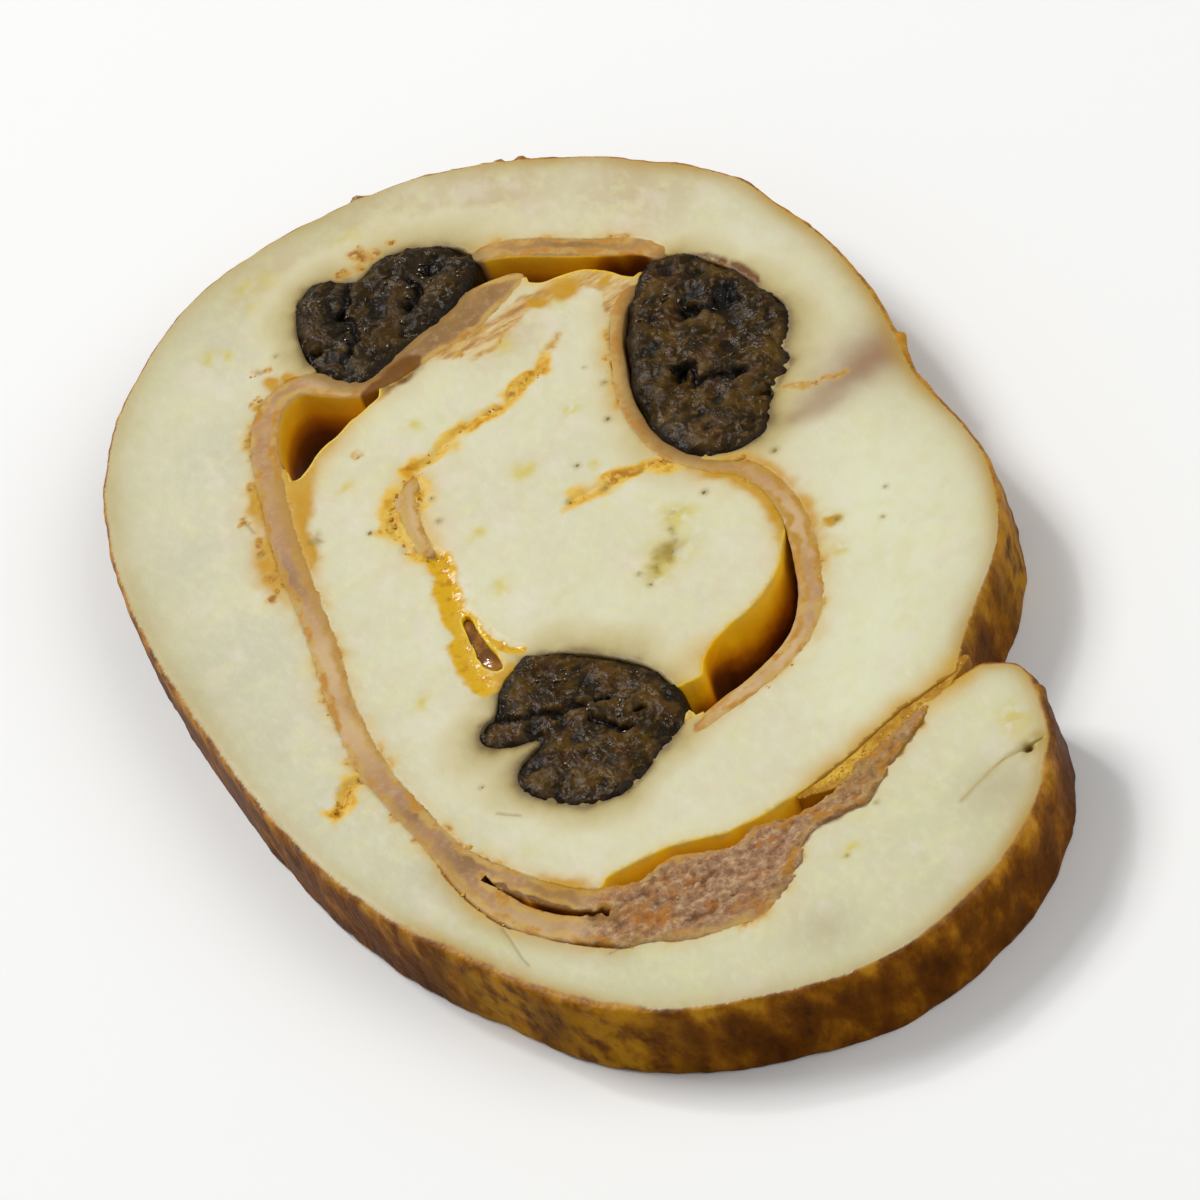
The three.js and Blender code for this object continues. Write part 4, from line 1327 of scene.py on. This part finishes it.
# Paprika: along the seams, round the spots and in patches along the ham.
ham_side = ham_rim[smooth(-0.2, 0.5, rough(*ham_rim.T, *STAIN_PATCHES)) > 0.4]
spot_places = np.array(PAPRIKA_SPOTS)[:, :2] + ROLL_MIDDLE
paprika = np.vstack([
    scattered(seam_line, 170, 0.25, 101),
    scattered(ham_side, 260, 0.35, 102),
    scattered(spot_places, 110, 0.3, 103),
])
paprika = paprika[inside(paprika, meat_plan)]
keep(crumbs("paprika_crumbs", paprika, sizes_between(0.07, 0.26, len(paprika), 104),
            inland(meat_top, paprika) - 0.04, 0.3, 105),
     crumb_finish("paprika", (168, 108, 8), (212, 164, 48), 0.45, 0.2), "turkey")

# Herb flecks: the larger ones where they were seen, and fine ones all over.
random = np.random.default_rng(111)
fine = on_meat(random.uniform(meat_rim.min(0), meat_rim.max(0), (80, 2)))
seen = np.array(HERB_FLECKS)[:, :2] + ROLL_MIDDLE
herb_places = np.vstack([seen, fine])
herb_sizes = np.r_[0.75 * np.array(HERB_FLECKS)[:, 2], random.uniform(0.04, 0.1, len(fine))]
keep(crumbs("herb_flecks", herb_places, herb_sizes, inland(meat_top, herb_places) - 0.05, 0.25, 112),
     crumb_finish("herb", (112, 90, 28), (176, 156, 86), 0.6, 0.2), "turkey")

# Golden grains over the crust in the notch.
golden_look = crumb_finish("golden_fat", (158, 106, 0), (214, 170, 56), 0.45, 0.2)
keep(crust, golden_look, "turkey")
grains = scattered(on_face([GOLD_CRUST]), 420, 0.5, 121)
grains = grains[inside(grains, crust_plan) & ~inside(grains, meat_plan)]
grain_height = crust_top(grains, 1) - 0.02
keep(crumbs("golden_grains", grains, sizes_between(0.05, 0.17, len(grains), 124), grain_height, 0.4, 125),
     golden_look, "turkey")

# Ham crumbs on the lump.
lump_line = on_face([[[-13, -35.5], *LUMP_MIDDLE, [9, -34]]])
ham_bits = scattered(lump_line, 420, 1.8, 131)
ham_bits = ham_bits[inside(ham_bits, ham_plans["ham_outer"])]
bit_height = np.minimum(inland(ham_top, ham_bits), THICKNESS) - 0.14
keep(crumbs("ham_crumbs", ham_bits, sizes_between(0.1, 0.34, len(ham_bits), 132), bit_height, 0.6, 133),
     crumb_finish("ham_bits", (138, 100, 66), (186, 148, 102), 0.45), "ham")

# Wet fibres of pulp over the prunes, which catch the light.
random = np.random.default_rng(161)
fibre_places, fibre_heights, inmost = [], [], []
for node, plan in prune_plans.items():
    rim = np.vstack(plan)
    places = random.uniform(rim.min(0), rim.max(0), (80, 2))
    places = places[inside(places, plan)]
    deep = nearest(places, rim)
    places, deep = places[deep > 0.5], deep[deep > 0.5]
    fibre_places.append(places)
    inmost.append(deep > 1.5)
    fibre_heights.append(np.minimum(prune_top_of(node)(places, deep) - 0.05, CEILING - 0.25))
fibre_places = np.vstack(fibre_places)
count = len(fibre_places)
fibre_heights = np.concatenate(fibre_heights)
ways, lengths, widths = (random.uniform(*span, count) for span in ((0, np.pi), (0.4, 1), (0.1, 0.24)))
keep(shreds("prune_fibres", fibre_places, ways, lengths, widths, fibre_heights - 0.04, 165),
     wet_finish("wet_pulp", (46, 30, 8), (78, 56, 22)), "prune")

# Beads of juice on the prunes, which catch the light.
beads = np.concatenate(inmost) & (random.uniform(0, 1, count) < 0.35)
bead_places = fibre_places[beads] + 0.4
keep(crumbs("juice_beads", bead_places, sizes_between(0.16, 0.42, len(bead_places), 167),
            fibre_heights[beads] + 0.04, 0.45, 168),
     wet_finish("bead_juice", (40, 26, 8), (62, 44, 18), 0.07), "prune")


# Floor, light and camera

def floor():
    """A wide plain pale sheet under the slice."""
    corners = FLOOR_REACH * np.array([[-1, -1, 0], [1, -1, 0], [1, 1, 0], [-1, 1, 0]])
    sheet = mesh_object("floor", corners, np.array([[0, 1, 2], [0, 2, 3]]), {})
    paper = Finish("pale_floor")
    paper.base = (238, 238, 236)
    paper.over((243, 243, 241), paper.grain(400, 2))
    sheet.data.materials.append(paper.done(0.8, paper.bump(paper.grain(3, 2), 0.02)))


def softbox(name, place, size, watts):
    """A square light that faces the slice."""
    lamp = bpy.data.lights.new(name, "AREA")
    lamp.size = size
    lamp.energy = watts
    box = bpy.data.objects.new(name, lamp)
    box.location = place
    box.rotation_euler = (-Vector(place)).to_track_quat("-Z", "Y").to_euler()
    bpy.context.scene.collection.objects.link(box)


def camera():
    """Stands where the photograph's did from the slice, with a longer lens."""
    low, high = cad_box
    target = Vector([(a + b) / 2 for a, b in zip(low, high)])
    back = CAMERA_WAY.normalized()
    right = (PICTURE_RIGHT - PICTURE_RIGHT.dot(back) * back).normalized()
    turned = Matrix((right, back.cross(right), back)).transposed().to_4x4()
    eye = bpy.data.objects.new("camera", bpy.data.cameras.new("camera"))
    eye.data.lens = LENS
    eye.data.clip_end = 20
    eye.matrix_world = Matrix.Translation(target + CAMERA_DISTANCE * back) @ turned
    bpy.context.scene.collection.objects.link(eye)
    bpy.context.scene.camera = eye


floor()
softbox("key", (-0.45, 0.75, 1.05), 0.55, 11)
softbox("spark", (-0.25, 0.85, 1.0), 0.1, 2.2)
softbox("fill", (0.7, -0.5, 0.9), 1.0, 5.6)
world = bpy.data.worlds.new("soft_room")
world.use_nodes = True
background = world.node_tree.nodes["Background"].inputs
background["Color"].default_value = (1, 1, 1, 1)
background["Strength"].default_value = ROOM_LIGHT
bpy.context.scene.world = world
bpy.context.scene.view_settings.view_transform = "Standard"
camera()
